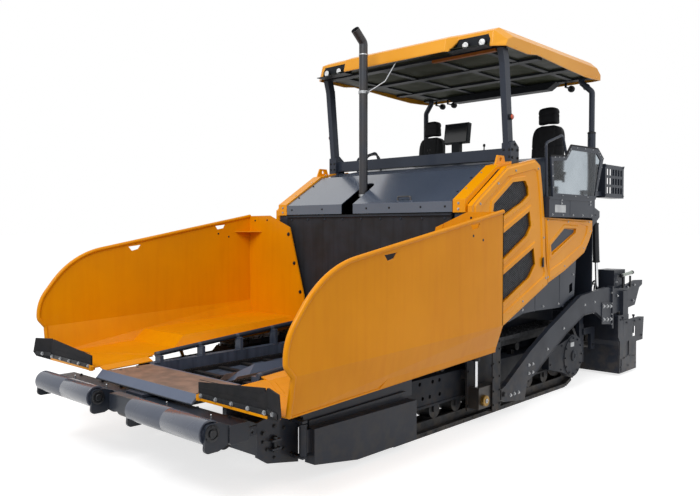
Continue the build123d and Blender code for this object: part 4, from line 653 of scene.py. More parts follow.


# The grille behind the mesh is near black as painted shade of the space behind it, and the mesh is drawn lighter than
# its black coat as painted light.
grille_painted_shade = surface("black coated grille", "#26282B", "#1D1F22", 60, 0.6, grain_mm=4, grain_depth=0.1)
mesh_painted_light = surface("expanded metal, black coated", "#4D5056", "#3F4247", 50, 0.45, metal=0.3, grain_depth=0.05)
for side, sign in SIDES:
    body = f"door_{side}"
    work = Work(sign)
    for window in DOOR_WINDOWS:
        pressed_frame(work, (grown(window, 58), 1499), (grown(window, 42), 1513), (window, 1513), (window, 1472))
    pressed_frame(work, (DOOR_EDGE, 1499), (grown(DOOR_EDGE, -16), 1513), (grown(DOOR_FIELD, 14), 1513),
                  (DOOR_FIELD, 1499))
    work.made(f"door_pressing_{side}", amber, "yellow_paint", body)
    dress(amber, 4, body)
    dress(grille_painted_shade, 0, f"door_grille_{side}")
    work = Work(sign)
    for window in DOOR_WINDOWS:
        for lean in (0.62, -0.62):
            for (y0, z0), (y1, z1) in strands(window, 25, lean):
                work.plate([(y0, z0 - 3), (y1, z1 - 3), (y1, z1 + 3), (y0, z0 + 3)], "X", 1477, 1481)
    work.made(f"door_mesh_{side}", mesh_painted_light, "frame_steel", body)
    work = Work(sign)
    work.bolts(on(1512.5, (3245, 960), (3245, 1560), (3245, 2060), (3290, 2352), (3640, 2580), (4010, 2738),
                  (4520, 2790), (4664, 1990), (4725, 1510), (4180, 1275)), OUT, 18)
    work.made(f"door_bolts_{side}", zinc, "bright_rod", body, True)
    work = Work(sign)
    work.plate([(4630, 1640), (4668, 1648), (4664, 1760), (4628, 1752)], "X", 1512, 1519)
    work.plate([(4638, 1660), (4660, 1664), (4657, 1745), (4636, 1741)], "X", 1518, 1523)
    work.made(f"door_latch_{side}", black_steel, "frame_steel", body)

# Body behind the doors: folded side skirts, rear panels, deck and dash. Satin slate enamel below, amber
# on the rear panels, whose sunk field holds a plain dark sheet.
body_paint = surface("satin slate enamel on folded sheet", "#2F3541", "#2A303B", 600, 0.38, coat=0.15,
                     soil="#4A443D", soil_top=1.3, soil_share=0.25, wear_and_highlight="#5E646E")
dress(body_paint, 3, "body_shell", "side_skirts", "platform_boxes")
dress(amber, 4, "rear_panels")
dress(frame_paint, 8, "engine_block")
panel_edge = ((4822, 1480), (5216, 1592), (5766, 1800), (5905, 1943), (5998, 2068), (5994, 2184), (4730, 2212))
panel_field = ((4836, 1602), (5200, 1712), (5690, 1898), (5815, 2025), (5850, 2120), (5560, 2168), (4790, 2188))
opening = ((4870, 1770), (5507, 2043), (5532, 2095), (5213, 2106), (4850, 1899))
work = Work()
pressed_frame(work, (panel_edge, 1499), (grown(panel_edge, -14), 1511), (grown(panel_field, 12), 1511),
              (panel_field, 1499))
pressed_frame(work, (grown(opening, 44), 1499), (grown(opening, 30), 1510), (opening, 1510), (opening, 1486))
work.made("rear_panel_pressing", amber, "yellow_paint")
work = Work()
work.plate([(4884, 1806), (5490, 2046), (5503, 2080), (5216, 2094), (4870, 1899)], "X", 1485, 1489)
work.made("rear_panel_inset", body_paint, "slate_paint")
work = Work()
work.bolts(on(1510.5, (4780, 1520), (5210, 1634), (5740, 1842), (5930, 2060), (5900, 2178), (5300, 2180),
              (4770, 2196)), OUT, 14)
work.bolts(on(1385, (3600, 1110), (4000, 1085), (4400, 1150), (4900, 1150), (5300, 1150), (5700, 1500),
              (5760, 1900)), OUT, 20)
work.bolts([(1360, 3152, z) for z in (1250, 1500, 1750, 2000)], FRONT, 20)
work.bolts([(1556, y, 2262) for y in (4790, 5060, 5330, 5600, 5860)], OUT, 18)
work.bolts([(1556, y, z) for y in (5020, 5820) for z in (2400, 2440)], OUT, 20)
work.made("body_bolts", zinc, "bright_rod", smooth=True)
work = Work()
for y in (4700, 5330):
    work.bar(1385, 1387.5, y, y + 5, 1125, 1540)
work.bar(1553, 1564, 4716, 5931, 2444, 2460)
work.bar(1556, 1558.5, 5250, 5254, 2250, 2444)
work.made("body_seams", body_paint, "slate_paint")
blank = surface("blank plate, bare aluminium", "#B9BBBC", "#A9ABAD", 90, 0.4, metal=0.7, grain_depth=0.02)
work = Work()
work.bar(1556, 1559, 4850, 5130, 2290, 2380)
work.bar(1380, 1383, 5660, 5760, 560, 615)
work.bolts(on(1558.5, (4862, 2302), (5118, 2302), (4862, 2368), (5118, 2368)), OUT, 7)
work.made("blank_plates", blank, "bright_rod", smooth=True)

# Exhaust stack: rolled steel tube through the hood's slot with a clamp and a wire brace. Heat has
# browned it a little in patches; the brace is plated.
def brace(tree, place):
    """Mask of the plated wire brace, which stands beside the pipe."""
    side = add(tree, "ShaderNodeSeparateXYZ", [(place, 0)]).outputs["X"]
    beside = add(tree, "ShaderNodeMath", [(side, 0)], {1: -0.147}, operation="GREATER_THAN").outputs[0]
    return joined(tree, beside, band(tree, place, "Z", 3000, 4300), "MULTIPLY")


pipe_steel = surface("heat darkened steel tube", "#33373E", "#3B3A3B", 240, 0.42, metal=0.45, grain_mm=4,
                     grain_depth=0.06, wear_and_highlight="#777069", wear_and_highlight_mm=4, other=("#B5B7BA", brace))
dress(pipe_steel, 0, "exhaust_pipe")
work = Work(1)
for z, height, radius in ((3718, 34, 60), (2480, 26, 57), (4180, 14, 56)):
    work.turned((-222, 3420, z), UP, [(0, 53), (0.5, radius), (height, radius), (height + 0.5, 53)], 28)
work.bolts([(-140, 3412, 3735)], FRONT, 16)
work.made("pipe_clamps", zinc, "exhaust_steel", smooth=True)

# Operator station: welded portal and bent tube posts carry a moulded canopy with lamp bays. Satin
# slate steel; the canopy is amber laminate outside, with a dark frame and olive boards inside.
dress(body_paint, 4, "front_portal")
dress(body_paint, 2, "rear_posts")
# The laminate's pale cream edge colour is a painted highlight along the moulded edges, which draws the light band along
# the canopy's top.
laminate = surface("amber gelcoat laminate", "#E9A22E", "#E0961C", 900, 0.38, coat=0.2, grain_mm=5,
                   grain_depth=0.02, wear_and_highlight="#F4D9A8", wear_and_highlight_mm=4)
ROOF_SECTIONS = ((780, 3672, 4308, 0), (870, 3790, 4338, 0), (1325, 3802, 4338, 4), (1450, 3895, 4338, 108))


def roof_rim(y):
    """Height of the canopy's lower edge at a station; it steps up behind the front module."""
    rim = ((3500, 4110), (4446, 4092), (4541, 4126), (5832, 4060), (6287, 4079), (6500, 4100))
    for (y0, z0), (y1, z1) in zip(rim, rim[1:]):
        if y <= y1:
            return z0 + (z1 - z0) * (y - y0) / (y1 - y0)
    return rim[-1][1]


def roof_skin(mesh):
    """The canopy's outer skin, from side to side in sections, open below."""
    lines, feet = [], []
    for x, front, top, drop in [(-x, *rest) for x, *rest in reversed(ROOF_SECTIONS)] + list(ROOF_SECTIONS):
        edge, rear = top - drop, 6400 - drop * 0.5
        crest = [(front, roof_rim(front)), (front, roof_rim(front) + 20), (front + 34, edge - 50), (front + 150, edge),
                 (rear - 110, edge), (rear, edge - 70), (rear, roof_rim(rear))]
        lines.append([mesh.verts.new(at(x, y, z)) for y, z in crest])
        feet.append([(x, front + (rear - front) * share) for share in (0.2, 0.288, 0.325, 0.6, 0.82, 0.93)])
    for one, two in zip(lines, lines[1:]):
        for i in range(len(one) - 1):
            mesh.faces.new((one[i], one[i + 1], two[i + 1], two[i]))
    for index in (0, -1):
        line, foot = lines[index], [mesh.verts.new(at(x, y, roof_rim(y))) for x, y in feet[index]]
        mesh.faces.new([line[0], *foot, line[-1], *reversed(line[1:-1])])


work = Work(1)
roof_skin(work.mesh)
roof = work.made("canopy_skin", laminate, "yellow_paint")
skin = roof.modifiers.new("laminate", "SOLIDIFY")
skin.thickness = 0.018
skin.offset = -1.0
work = Work()
work.plate([(790, 4070), (1295, 4070), (1295, 4188), (1265, 4248), (880, 4248)], "Y", 3600, 3880)
cutter = placed("lamp_bay_cut", work.form("lamp bay cut"))
cut = roof.modifiers.new("lamp bays", "BOOLEAN")
cut.object = cutter
cut.solver = "EXACT"
bpy.context.view_layer.objects.active = roof
for name in ("laminate", "lamp bays"):
    bpy.ops.object.modifier_apply(modifier=name)
bpy.data.objects.remove(cutter)
break_edges(roof, "moulded edges", 8, 30)
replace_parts(roof, "canopy_roof")
liner_paint = surface("black enamel on canopy frame", "#25282C", "#202327", 300, 0.5, grain_mm=4, grain_depth=0.06,
                      other=("#34382A", lambda tree, place: band(tree, place, "Z", 4128, 4146)))
dress(liner_paint, 2, "canopy_liner")
LAMPS_X = (985, 1205)
work = Work()
work.plate([(780, 4100), (1305, 4100), (1305, 4190), (1270, 4256), (872, 4256)], "Y", 3828, 3838)
work.bar(790, 1300, 3700, 3838, 4098, 4106)
for x in LAMPS_X:
    work.bar(x - 62, x + 62, 3818, 3829, 4104, 4112)
work.made("lamp_bays", liner_paint, "frame_steel")
olive = surface("olive board", "#3E4230", "#373B2B", 260, 0.7, grain_mm=5, grain_depth=0.05)
work = Work(1)
for x0, x1 in ((-1040, -480), (-360, 360), (480, 1040)):
    for y0, y1 in ((4050, 4670), (4850, 5470), (5650, 6130)):
        work.bar(x0, x1, y0, y1, 4131, 4135)
work.made("liner_boards", olive, "slate_paint")
brown = surface("orange brown primer", "#9A5A26", "#86501F", 200, 0.55, grain_mm=4, grain_depth=0.06)
work = Work(1)
work.bar(430, 1300, 3915, 3965, 4072, 4102)
work.made("canopy_front_bar", brown, "yellow_paint")
work = Work()
work.bolts([(1449.5, y, roof_rim(y) + 26) for y in (4100, 4420, 4700, 5300, 5900, 6200)], OUT, 12)
for y in (4446, 4541):
    work.bar(1449, 1451.5, y - 2, y + 2, roof_rim(y), 4225)
work.made("canopy_side_fixings", laminate, "yellow_paint", smooth=True)
work = Work()
work.bolts(on(1420, (4090, 2895), (4205, 2895), (4090, 2985), (4205, 2985), (4150, 3045)), OUT)
work.bolts([(x, 4060, z) for x in (1325, 1395) for z in (2905, 2985)], FRONT, 20)
work.bolts([(x, y, 2270) for y in (6195, 6283) for x in (1334, 1422)], UP, 22)
work.turned((1380, 6238, 3364), UP, [(0, 53), (8, 56), (22, 56), (26, 50), (32, 40)], 20)
work.bolts([(1380, 6186, z) for z in (2960, 3300)], FRONT, 20)
work.made("post_bolts", black_steel, "frame_steel", smooth=True)
work = Work()
for z in range(3120, 3900, 150):
    y = 4175 - (z - 2860) * 105 / 1090
    work.bar(1340, 1368, y - 2, y + 13, z, z + 120)
work.made("post_cable_cover", rubber, "flap_rubber")

# Lamps: die cast housings with a clear lens over rows of diodes in front, black round lamps behind and
# red marker lamps on the posts. Lenses are clear plastic, so they pick up the sky; the front lenses are
# drawn near white, partly frosting and partly painted reflection of the sky.
housing = surface("black die cast lamp housing", "#1B1C1E", "#222326", 60, 0.4, grain_mm=2, grain_depth=0.03)
# The front lens's near white colour is frosting plus a painted reflection of the white sky.
lens = surface("frosted lamp lens", "#E9EBEC", "#DADDE0", 30, 0.18, 0.05, coat=0.8, grain_mm=8, grain_depth=0.05)
diode = surface("bright diode reflector", "#F6F6F2", "#E4E6E8", 12, 0.1, 0.04, metal=0.6, coat=0.5, grain_mm=2,
                grain_depth=0.02)
signal = surface("orange red signal lens", "#C24A1C", "#B23E14", 20, 0.2, 0.05, coat=0.8, grain_mm=6, grain_depth=0.1)
lamps, lenses, dots, rims, markers = Work(), Work(), Work(), Work(), Work()
for x in LAMPS_X:
    lamps.turned((x, 3830, 4160), FRONT, [(0, 34), (6, 42), (38, 47), (40, 45)], 28)
    lamps.turned((x, 6462, 4048), FRONT, [(0, 46), (30, 47), (52, 38), (60, 22), (62, 10)], 24)
    lamps.bar(x - 12, x + 12, 6275, 6412, 4040, 4056)
    lamps.bar(x - 12, x + 12, 6262, 6284, 4040, 4108)
    lenses.turned((x, 3792, 4160), FRONT, [(-1, 42), (2, 42), (6, 38), (9, 28), (10, 12)], 28)
    rims.turned((x, 3790, 4160), FRONT, [(0, 51), (6, 51), (8, 48), (8, 43), (3, 42)], 28)
    rims.turned((x, 6459, 4048), REAR, [(0, 46), (8, 44), (16, 36), (21, 22), (22, 8)], 24)
    for c, s in ring(1, 0) + ring(6, 14) + ring(10, 27):
        dots.turned((x + c, 3783, 4160 + s), FRONT, [(-2, 5), (2.5, 5), (3.5, 2.5)], 10)
lamps.turned((1388, 4080, 3349), OUT, [(0, 20), (3, 31), (26, 31), (31, 28)], 24)
rims.turned((1412, 4080, 3349), OUT, [(0, 33), (7, 33), (9, 30)], 24)
markers.turned((1419, 4080, 3349), OUT, [(0, 29), (8, 28), (14, 22), (17, 10)], 24)
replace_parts(lamps.made("lamp_housings", housing, "lamp_body", smooth=True), "lamps")
lenses.made("work_lamp_lenses", lens, "lamp_body", smooth=True)
dots.made("work_lamp_diodes", diode, "lamp_body", smooth=True)
rims.made("lamp_rims", housing, "lamp_body", smooth=True)
markers.made("marker_lenses", signal, "lamp_body", smooth=True)

# Side screens: acrylic sheet bolted in a folded steel frame, with a bent grab rail in front. Clear
# with a faint grey edge; the frame's top edge is black rubber.
dress(body_paint, 1.5, "side_shields")
acrylic, tree, pane = new_material("clear acrylic sheet")
pane.inputs["IOR"].default_value = 1.2
pane.inputs["Transmission Weight"].default_value = 1.0
haze = noise(tree, add(tree, "ShaderNodeTexCoord").outputs["Object"], 3.0, 5.0)
tint = add(tree, "ShaderNodeMix", [(haze, 0)], {6: linear("#B9C2C8"), 7: linear("#98A2AA")}, data_type="RGBA")
tree.links.new(tint.outputs[2], pane.inputs["Base Color"])
tree.links.new(remap(tree, haze, 0.0, 1.0, 0.03, 0.16), pane.inputs["Roughness"])
dress(acrylic, 0, "shield_windows")
SCREEN = ((4850, 2475), (4800, 2956), (5191, 2984), (5334, 3127), (6108, 3144), (6280, 3027), (6043, 2475))
work = Work()
for (y0, z0), (y1, z1) in zip(SCREEN, SCREEN[1:] + SCREEN[:1]):
    for share in (0.2, 0.5, 0.8):
        y, z = y0 + (y1 - y0) * share, z0 + (z1 - z0) * share
        work.bolts([(1531.5, y + (5500 - y) * 0.025, z + (2800 - z) * 0.07)], OUT, 13)
work.made("screen_bolts", zinc, "bright_rod", smooth=True)
work = Work()
work.beads(on(1522, *SCREEN[1:-1]), 13, 10)
work.made("screen_top_trim", rubber, "flap_rubber", smooth=True)

# Seats and desks: foam in welded vinyl covers on steel pedestals, a moulded desk with a tilted
# monitor. The covers are dull black with a fine grain; each pad is swollen by its foam.
dress(liner_paint, 6, "seat_bases", "consoles")
vinyl = surface("welded vinyl seat cover", "#1B1C1E", "#232427", 70, 0.55, grain_mm=1.6, grain_depth=0.2)
SEAT_X, SEAT_Y, SEAT_Z = 960, 5600, 2650
DRAWN_IN = 7
CLOTH_FRAMES = 20


def pad_form(name, half, outline):
    """A pad's starting form: an outline (Y, Z) across a width, drawn in a little."""
    work = Work(1)
    middle = [sum(c) / len(outline) for c in zip(*outline)]
    drawn = [[c + (DRAWN_IN if c < m else -DRAWN_IN) for c, m in zip(corner, middle)] for corner in outline]
    work.plate(drawn, "X", SEAT_X - half + DRAWN_IN, SEAT_X + half - DRAWN_IN)
    bmesh.ops.recalc_face_normals(work.mesh, faces=work.mesh.faces[:])
    bmesh.ops.bevel(work.mesh, geom=work.mesh.edges[:], offset=0.022, segments=3, affect="EDGES", profile=0.6)
    return work.form(name)


def stuffed(name, data, swell_mm, channels, shoulders):
    """One foam filled pad: its shoulders are rounded, the form is blown up a little as cloth, then its sewn
    channels are pressed in."""
    thing = placed(name, data)
    bpy.context.view_layer.objects.active = thing
    thing.select_set(True)
    voxels = thing.modifiers.new("even mesh", "REMESH")
    voxels.mode = "VOXEL"
    voxels.voxel_size = 0.011
    bpy.ops.object.modifier_apply(modifier=voxels.name)
    low, high = min(v.co.z for v in thing.data.vertices), max(v.co.z for v in thing.data.vertices)
    for vertex in thing.data.vertices:
        share = max((2 * vertex.co.z - low - high) / (high - low), 0.0) if shoulders else 0.0
        vertex.co.x = SEAT_X * MM + (vertex.co.x - SEAT_X * MM) * max(1 - share ** shoulders, 0.06) ** 0.3
    rest = [v.co.copy() for v in thing.data.vertices]
    cloth = thing.modifiers.new("foam pressure", "CLOTH")
    cloth.settings.use_pressure = True
    cloth.settings.uniform_pressure_force = 4.0
    cloth.settings.effector_weights.gravity = 0.0
    cloth.settings.quality = 5
    cloth.point_cache.frame_start = 1
    cloth.point_cache.frame_end = CLOTH_FRAMES
    for step in range(1, CLOTH_FRAMES + 1):
        bpy.context.scene.frame_set(step)
    bpy.ops.object.modifier_apply(modifier=cloth.name)
    bpy.context.scene.frame_set(1)
    for vertex, before in zip(thing.data.vertices, rest):
        move = vertex.co - before
        if move.length > swell_mm * MM:
            vertex.co = before + move.normalized() * swell_mm * MM
    thing.data.update()
    sewn = [(axis, at(place, place, place)[axis]) for axis, place in channels]
    normals = [vertex.normal.copy() for vertex in thing.data.vertices]
    for vertex, normal in zip(thing.data.vertices, normals):
        depth = sum(math.exp(-((vertex.co[axis] - place) / 0.007) ** 2) for axis, place in sewn)
        vertex.co -= normal * min(depth, 1.0) * 0.008
    thing.data.shade_smooth()
    soft = thing.modifiers.new("soft cover", "SUBSURF")
    soft.levels = soft.render_levels = 1
    bpy.ops.object.modifier_apply(modifier=soft.name)
    thing.select_set(False)
    thing.data.materials.append(vinyl)
    return thing


PADS = (
    ("squab", 250, ((-290, 0), (190, 0), (200, 110), (-290, 140)), 9,
     [(1, SEAT_Y - 150), (1, SEAT_Y + 10), (0, 820), (0, 1100)], 0),
    ("backrest", 240, ((130, 66), (240, 66), (300, 840), (190, 840)), 9,
     [(2, 2860), (2, 3020), (2, 3180), (0, 840), (0, 1080)], 5),
    ("headrest", 150, ((190, 832), (300, 832), (290, 1075), (190, 1075)), 8, [(2, 3620)], 4),
)
for part, half, outline, swell, channels, shoulders in PADS:
    name = f"seat_{part}_left"
    form = pad_form(name, half, [(SEAT_Y + y, SEAT_Z + z) for y, z in outline])
    pad = stuffed(name, form, swell, channels, shoulders)
    other = pad.copy()
    other.data = pad.data.copy()
    other.name = f"seat_{part}_right"
    other.data.transform(Matrix.Scale(-1, 4, (1, 0, 0)))
    other.data.flip_normals()
    bpy.context.scene.collection.objects.link(other)
    for thing in (pad, other):
        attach(thing, "machine")
        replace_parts(thing, "seat_cushions")
work = Work()
for x in (-70, 70):
    work.turned((SEAT_X + x, SEAT_Y + 247, SEAT_Z + 730), UP, [(0, 7), (90, 7)], 10)
for x in (SEAT_X - 285, SEAT_X + 255):
    work.bar(x, x + 30, SEAT_Y - 180, SEAT_Y + 160, 2800, 2836)
    work.bar(x + 6, x + 24, SEAT_Y + 100, SEAT_Y + 140, 2700, 2805)
for z in range(2330, 2640, 38):
    work.bar(SEAT_X - 178, SEAT_X + 178, SEAT_Y - 205 - (z - 2310) * 0.09, SEAT_Y - 190, z, z + 14)
work.made("seat_frames", liner_paint, "frame_steel")
glass_black = surface("dark display glass", "#15181C", "#1C2026", 120, 0.12, 0.04, coat=0.6, grain_depth=0.01)
work = Work(1)
work.plate([(5036, 3262), (5044, 3260), (5084, 3506), (5076, 3508)], "X", -172, 172)
work.made("monitor_screen", glass_black, "lamp_body")
work = Work(1)
for x in (-520, -440, -360, 300, 380, 460, 540):
    work.turned((x, 5000, 3056), (0, -0.36, 0.93), [(-2, 14), (14, 12), (18, 7)])
for x in (-480, 420):
    work.turned((x, 5090, 3080), (0.1, -0.1, 1),
                [(-2, 26), (6, 22), (8, 8), (90, 8), (96, 17), (122, 17), (130, 8)], 14)
work.made("desk_controls", housing, "lamp_body", smooth=True)
tube("dash_rail", 1, [(-1250, 4600, 2905), (-1250, 4600, 3100), (-1040, 4600, 3150), (-940, 4600, 3060),
                      (-940, 4600, 2905)], 11, black_steel)
for side, sign in SIDES:
    tube(f"rear_grab_rail_{side}", sign, [(1300, 6285, 2255), (1300, 6330, 2700), (1300, 6330, 3120),
                                          (1300, 6240, 3180), (1340, 6238, 3180)], 15, body_paint)

# Tow points: guide plates with a bolted cover, a sliding block with its brass roller, and the level
# cylinder above. Dark enamel, greased and dusty; the rod is chromed, the roller is brass.
guide_paint = surface("dusty slate enamel on thick plate", "#2A2F38", "#313336", 180, 0.5, grain_mm=5,
                      grain_depth=0.1, soil="#5A5147", soil_top=1.1, soil_share=0.55, wear_and_highlight="#74706A", wear_and_highlight_mm=5)
dress(guide_paint, 3, "tow_guides")
point_steel = surface("greased steel of the tow point", "#3B3A3A", "#2D2C2C", 110, 0.42, metal=0.35, grain_mm=5,
                      grain_depth=0.1, soil="#5A5147", soil_top=0.9, soil_share=0.4, wear_and_highlight="#7B766F")
dress(point_steel, 2, "tow_points")
brass = surface("turned brass roller", "#9A7A3C", "#86682F", 60, 0.38, metal=0.85, grain_mm=2, grain_depth=0.03)
for name, spot, way, profile, sides, material in (
        ("guide_rollers", (1431, 3490, 258), OUT, [(0, 60), (40, 60), (46, 55), (46, 26), (40, 25)], 28, brass),
        ("roller_hubs", (1474, 3490, 258), OUT, [(0, 24), (8, 24), (12, 18), (12, 9), (5, 8)], 20, zinc),
        ("level_rods", (1376, 3435, 402), UP, [(0, 20.6), (296, 20.6)], 20, chrome)):
    work = Work()
    work.turned(spot, way, profile, sides)
    work.made(name, material, "bright_rod", "tow_points", True)
work = Work()
work.bolts([(1457, y, z) for z in (180, 330, 480, 630, 780, 860) for y in (3658, 3782)], OUT, 20)
work.bolts([(1301, y, z) for y in (3400, 3874) for z in (190, 560, 940)])
work.turned((1376, 3435, 1158), UP, [(0, 41), (8, 41), (12, 36), (16, 36), (18, 20), (34, 20), (38, 12)], 22)
work.turned((1376, 3435, 700), (0, 0, -1), [(-2, 42), (14, 42), (18, 36), (20, 24)], 22)
work.turned((1466, 3870, 262), OUT, [(0, 30), (6, 30), (8, 24), (14, 24), (16, 14)], 20)
work.made("guide_bolts", black_steel, "frame_steel", smooth=True)
hose_rubber = surface("braided hose rubber", "#1E1F21", "#2A2A2C", 40, 0.55, grain_mm=2.5, grain_depth=0.25)


def hose(name, sign, points, radius_mm=12, body="machine"):
    """A fixed hydraulic hose along its bend points."""
    tube(name, sign, points, radius_mm, hose_rubber, body)


for side, sign in SIDES:
    hose(f"level_hose_{side}", sign, [(1340, 3435, 1090), (1300, 3440, 1130), (1285, 3520, 1150), (1283, 3700, 1120),
                                      (1290, 3900, 1080)], 11)
    hose(f"level_hose_low_{side}", sign, [(1340, 3435, 760), (1306, 3450, 760), (1300, 3560, 800), (1300, 3640, 960),
                                          (1290, 3900, 1060)], 11)
    hose(f"guard_hose_{side}", sign, [(1255, 2380, 640), (1240, 2500, 660), (1235, 2900, 640), (1262, 3200, 700),
                                      (1275, 3380, 820)], 11)

# Tow arms: flame cut plates with a welded flange, a level plate and screed bolts. Slate enamel,
# dusty along the bottom edge, with plated bolts.
arm_paint = surface("slate enamel on flame cut plate", "#2D323C", "#282C35", 300, 0.42, coat=0.08, grain_mm=4,
                    grain_depth=0.07, soil="#5A5147", soil_top=0.8, soil_share=0.5, wear_and_highlight="#767370", wear_and_highlight_mm=5)
dress(arm_paint, 3, "tow_arms", "screed_frame", "screed_ends", "screed_boxes")
work = Work()
work.bolts(on(1460, (4014, 228), (4097, 232), (4189, 231)), OUT, 26)
work.bolts(on(1460, (4428, 510), (4518, 510), (4429, 413), (4519, 413)))
work.bolts(on(1460, (5900, 1095), (6200, 1110), (5300, 850), (4880, 640)), OUT, 22)
work.bolts(on(1470, (6463, 1032), (6580, 1024), (6690, 1014), (6468, 850), (6584, 842), (6696, 834)), OUT, 36)
work.bolts(on(1450, (6980, 1140), (7350, 1240), (7600, 1260), (7560, 1030)))
work.bolts([(1473, 6735, z) for z in (760, 900, 1050, 1200)], FRONT, 18)
work.made("arm_bolts", zinc, "bright_rod", "screed", True)
work = Work()
work.plate([(6420, 790), (6728, 760), (6728, 1068), (6420, 1086)], "X", 1459, 1470)
for run in (((4560, 384), (5405, 792)), ((5420, 797), (5870, 966)), ((5880, 968), (6250, 978))):
    work.beads(on(1461, *run), 4)
work.made("arm_plates", arm_paint, "slate_paint", "screed")
grey_green = surface("grey green lamp tube", "#8D9A8C", "#7E8B7E", 60, 0.3, coat=0.5, grain_depth=0.02)
LAMP_LEAN = (0, 1, 0.08)
work = Work()
work.turned((1452, 7120, 1420), LAMP_LEAN, [(0, 24), (360, 24)], 18)
work.made("arm_lamp_tubes", grey_green, "lamp_body", "screed", True)
work = Work()
work.turned((1452, 7090, 1417), LAMP_LEAN, [(0, 20), (4, 28), (34, 28), (36, 24)], 18)
work.turned((1452, 7476, 1448), LAMP_LEAN, [(0, 24), (2, 28), (32, 28), (36, 20)], 18)
for y in (7160, 7420):
    work.bar(1440, 1464, y, y + 20, 1236, 1404)
work.made("arm_lamp_ends", black_steel, "frame_steel", "screed", True)

# Screed: a welded box with walkway, end plates with a sliding plate, control boxes and hoses. Slate
# enamel, dull with asphalt film; crank screws and fittings are plated.
work = Work()
work.bolts(on(1500, (6990, 800), (7200, 740), (7500, 740), (7700, 740), (7760, 500), (7000, 120), (7250, 120),
              (7520, 120)))
work.plate([(7010, 50), (7540, 50), (7540, 230), (7390, 230), (7390, 250), (7120, 250), (7120, 230), (7010, 230)],
           "X", 1499, 1508)
for y in (7080, 7470):
    work.turned((1490, y, 560), UP, [(0, 12), (250, 12), (252, 20), (274, 20), (276, 10)])
work.bar(1395, 1399, 7010, 7360, 1000, 1006)
work.bar(1395.5, 1400, 7030, 7340, 1040, 1120)
work.signs = (1,)
for z, rear_z in ((910, 910), (1080, 1060)):
    work.bolts([(x, 6990, z) for x in (-820, -410, 0, 410, 820)], FRONT, 20)
    work.bolts([(x, 7290, rear_z) for x in (-820, -410, 0, 410, 820)], REAR, 20)
work.bolts([(x, 7300, 700) for x in (-1000, -500, 0, 500, 1000)], REAR)
work.made("screed_bolts", arm_paint, "slate_paint", "screed", True)
work = Work()
for y, z in ((7060, 1180), (7060, 1330), (7200, 1400), (7320, 1250)):
    work.turned((1396, y, z), OUT, [(-1, 15), (4, 15), (6, 10), (16, 10), (18, 6)])
work.made("screed_fittings", zinc, "bright_rod", "screed", True)
work = Work(1)
for x in range(-1280, 1281, 64):
    work.bar(x, x + 5, 7575, 7890, 430, 436)
for y in range(7600, 7890, 48):
    work.bar(-1290, 1290, y, y + 5, 430, 437)
work.made("screed_walkway", arm_paint, "slate_paint", "screed")
PORTS_X = (1070, 1110, 1150)
for side, sign in SIDES:
    for index, drop in enumerate((0, 46, 92)):
        hose(f"screed_hose_{side}_{index}", sign,
             [(x - drop, y, z) for x, y, z in ((1180, 6992, 1380 - drop), (1180, 6900, 1400 - drop),
                                               (1160, 6850, 1250), (1150, 6870, 1000), (1150, 6960, 800),
                                               (1150, 6990, 700))], body="screed")
    for index, x in enumerate(PORTS_X):
        hose(f"rear_hose_{side}_{index}", sign, [(x, 6302, 1560), (x, 6390, 1570), (x + 8, 6430, 1400),
                                                 (x + 4, 6420, 1000), (x, 6380, 800), (x, 6370, 702)])
    hose(f"lift_hose_{side}", sign, [(1290, 6472, 2120), (1262, 6470, 2130), (1235, 6440, 2060), (1232, 6404, 1960)],
         10)
work = Work()
work.bar(1050, 1180, 6299, 6340, 1500, 1640)
work.bar(1196, 1203, 6300, 6420, 1180, 1680)
for x in PORTS_X:
    work.turned((x, 6338, 1560), REAR, [(0, 16), (14, 16), (15, 19), (30, 19), (32, 13)], 6)
for z in range(1230, 1660, 60):
    work.turned((1203, 6360, z), OUT, [(-1, 13), (2, 13), (3, 9), (1, 8)])
work.made("hydraulic_blocks", black_steel, "frame_steel", smooth=True)

# Lift cylinders, augers and folded steps: honed tube with a chromed rod, welded flighting on a shaft,
# and perforated sheet boxes. Black or slate enamel; the flighting is scoured to bare steel.
dress(cylinder_paint, 2, "lift_barrels")
dress(chrome, 0, "lift_rods")
flight = surface("scoured auger flighting", "#54504C", "#403D3B", 120, 0.42, metal=0.55, grain_mm=5,
                 grain_depth=0.15, wear_and_highlight="#98928A", wear_and_highlight_mm=6)
TURNS, STEPS, PITCH = 3, 28, 300
BLADE = [(205 + PITCH * i / STEPS, c, s) for i, (c, s) in enumerate(ring(STEPS) * TURNS + ring(STEPS)[:1])]
for side, sign in SIDES:
    dress(flight, 2, f"auger_{side}")
    work = Work(sign)
    inner, outer = [[[work.mesh.verts.new(at((x + thick) * sign, 6690 - radius * s, 450 + radius * c))
                      for thick in (0, 7)] for x, c, s in BLADE] for radius in (44, 183)]
    for (a, a2), (b, b2), (c, c2), (d, d2) in zip(inner, inner[1:], outer, outer[1:]):
        for corners in ((a, b, d, c), (a2, c2, d2, b2), (c, d, d2, c2), (a, a2, b2, b)):
            work.mesh.faces.new(corners)
    for end in (0, -1):
        work.mesh.faces.new((inner[end][0], outer[end][0], outer[end][1], inner[end][1]))
    work.made(f"auger_flight_{side}", flight, "slate_paint", f"auger_{side}", True)
dress(body_paint, 2, "rear_steps")
work = Work()
work.bolts([(1290, y, z) for y in (6920, 7540) for z in (2575, 2985)], OUT, 18)
for y in (6892, 7560):
    work.bar(1092, 1298, y, y + 8, 3000, 3016)
work.made("step_fittings", body_paint, "slate_paint", smooth=True)
top, lower = Vector((1334, 6470, 2290)), Vector((1334, 6560, 1190))
way = (lower - top).normalized()
work = Work()
work.turned(top + way * 640, way, [(0, 47), (2, 50), (22, 50), (26, 40), (30, 24)], 24)
work.turned(top + way * 118, way, [(0, 40), (2, 49), (24, 49), (26, 47)], 24)
work.made("lift_collars", black_steel, "frame_steel", "lift_barrels", True)

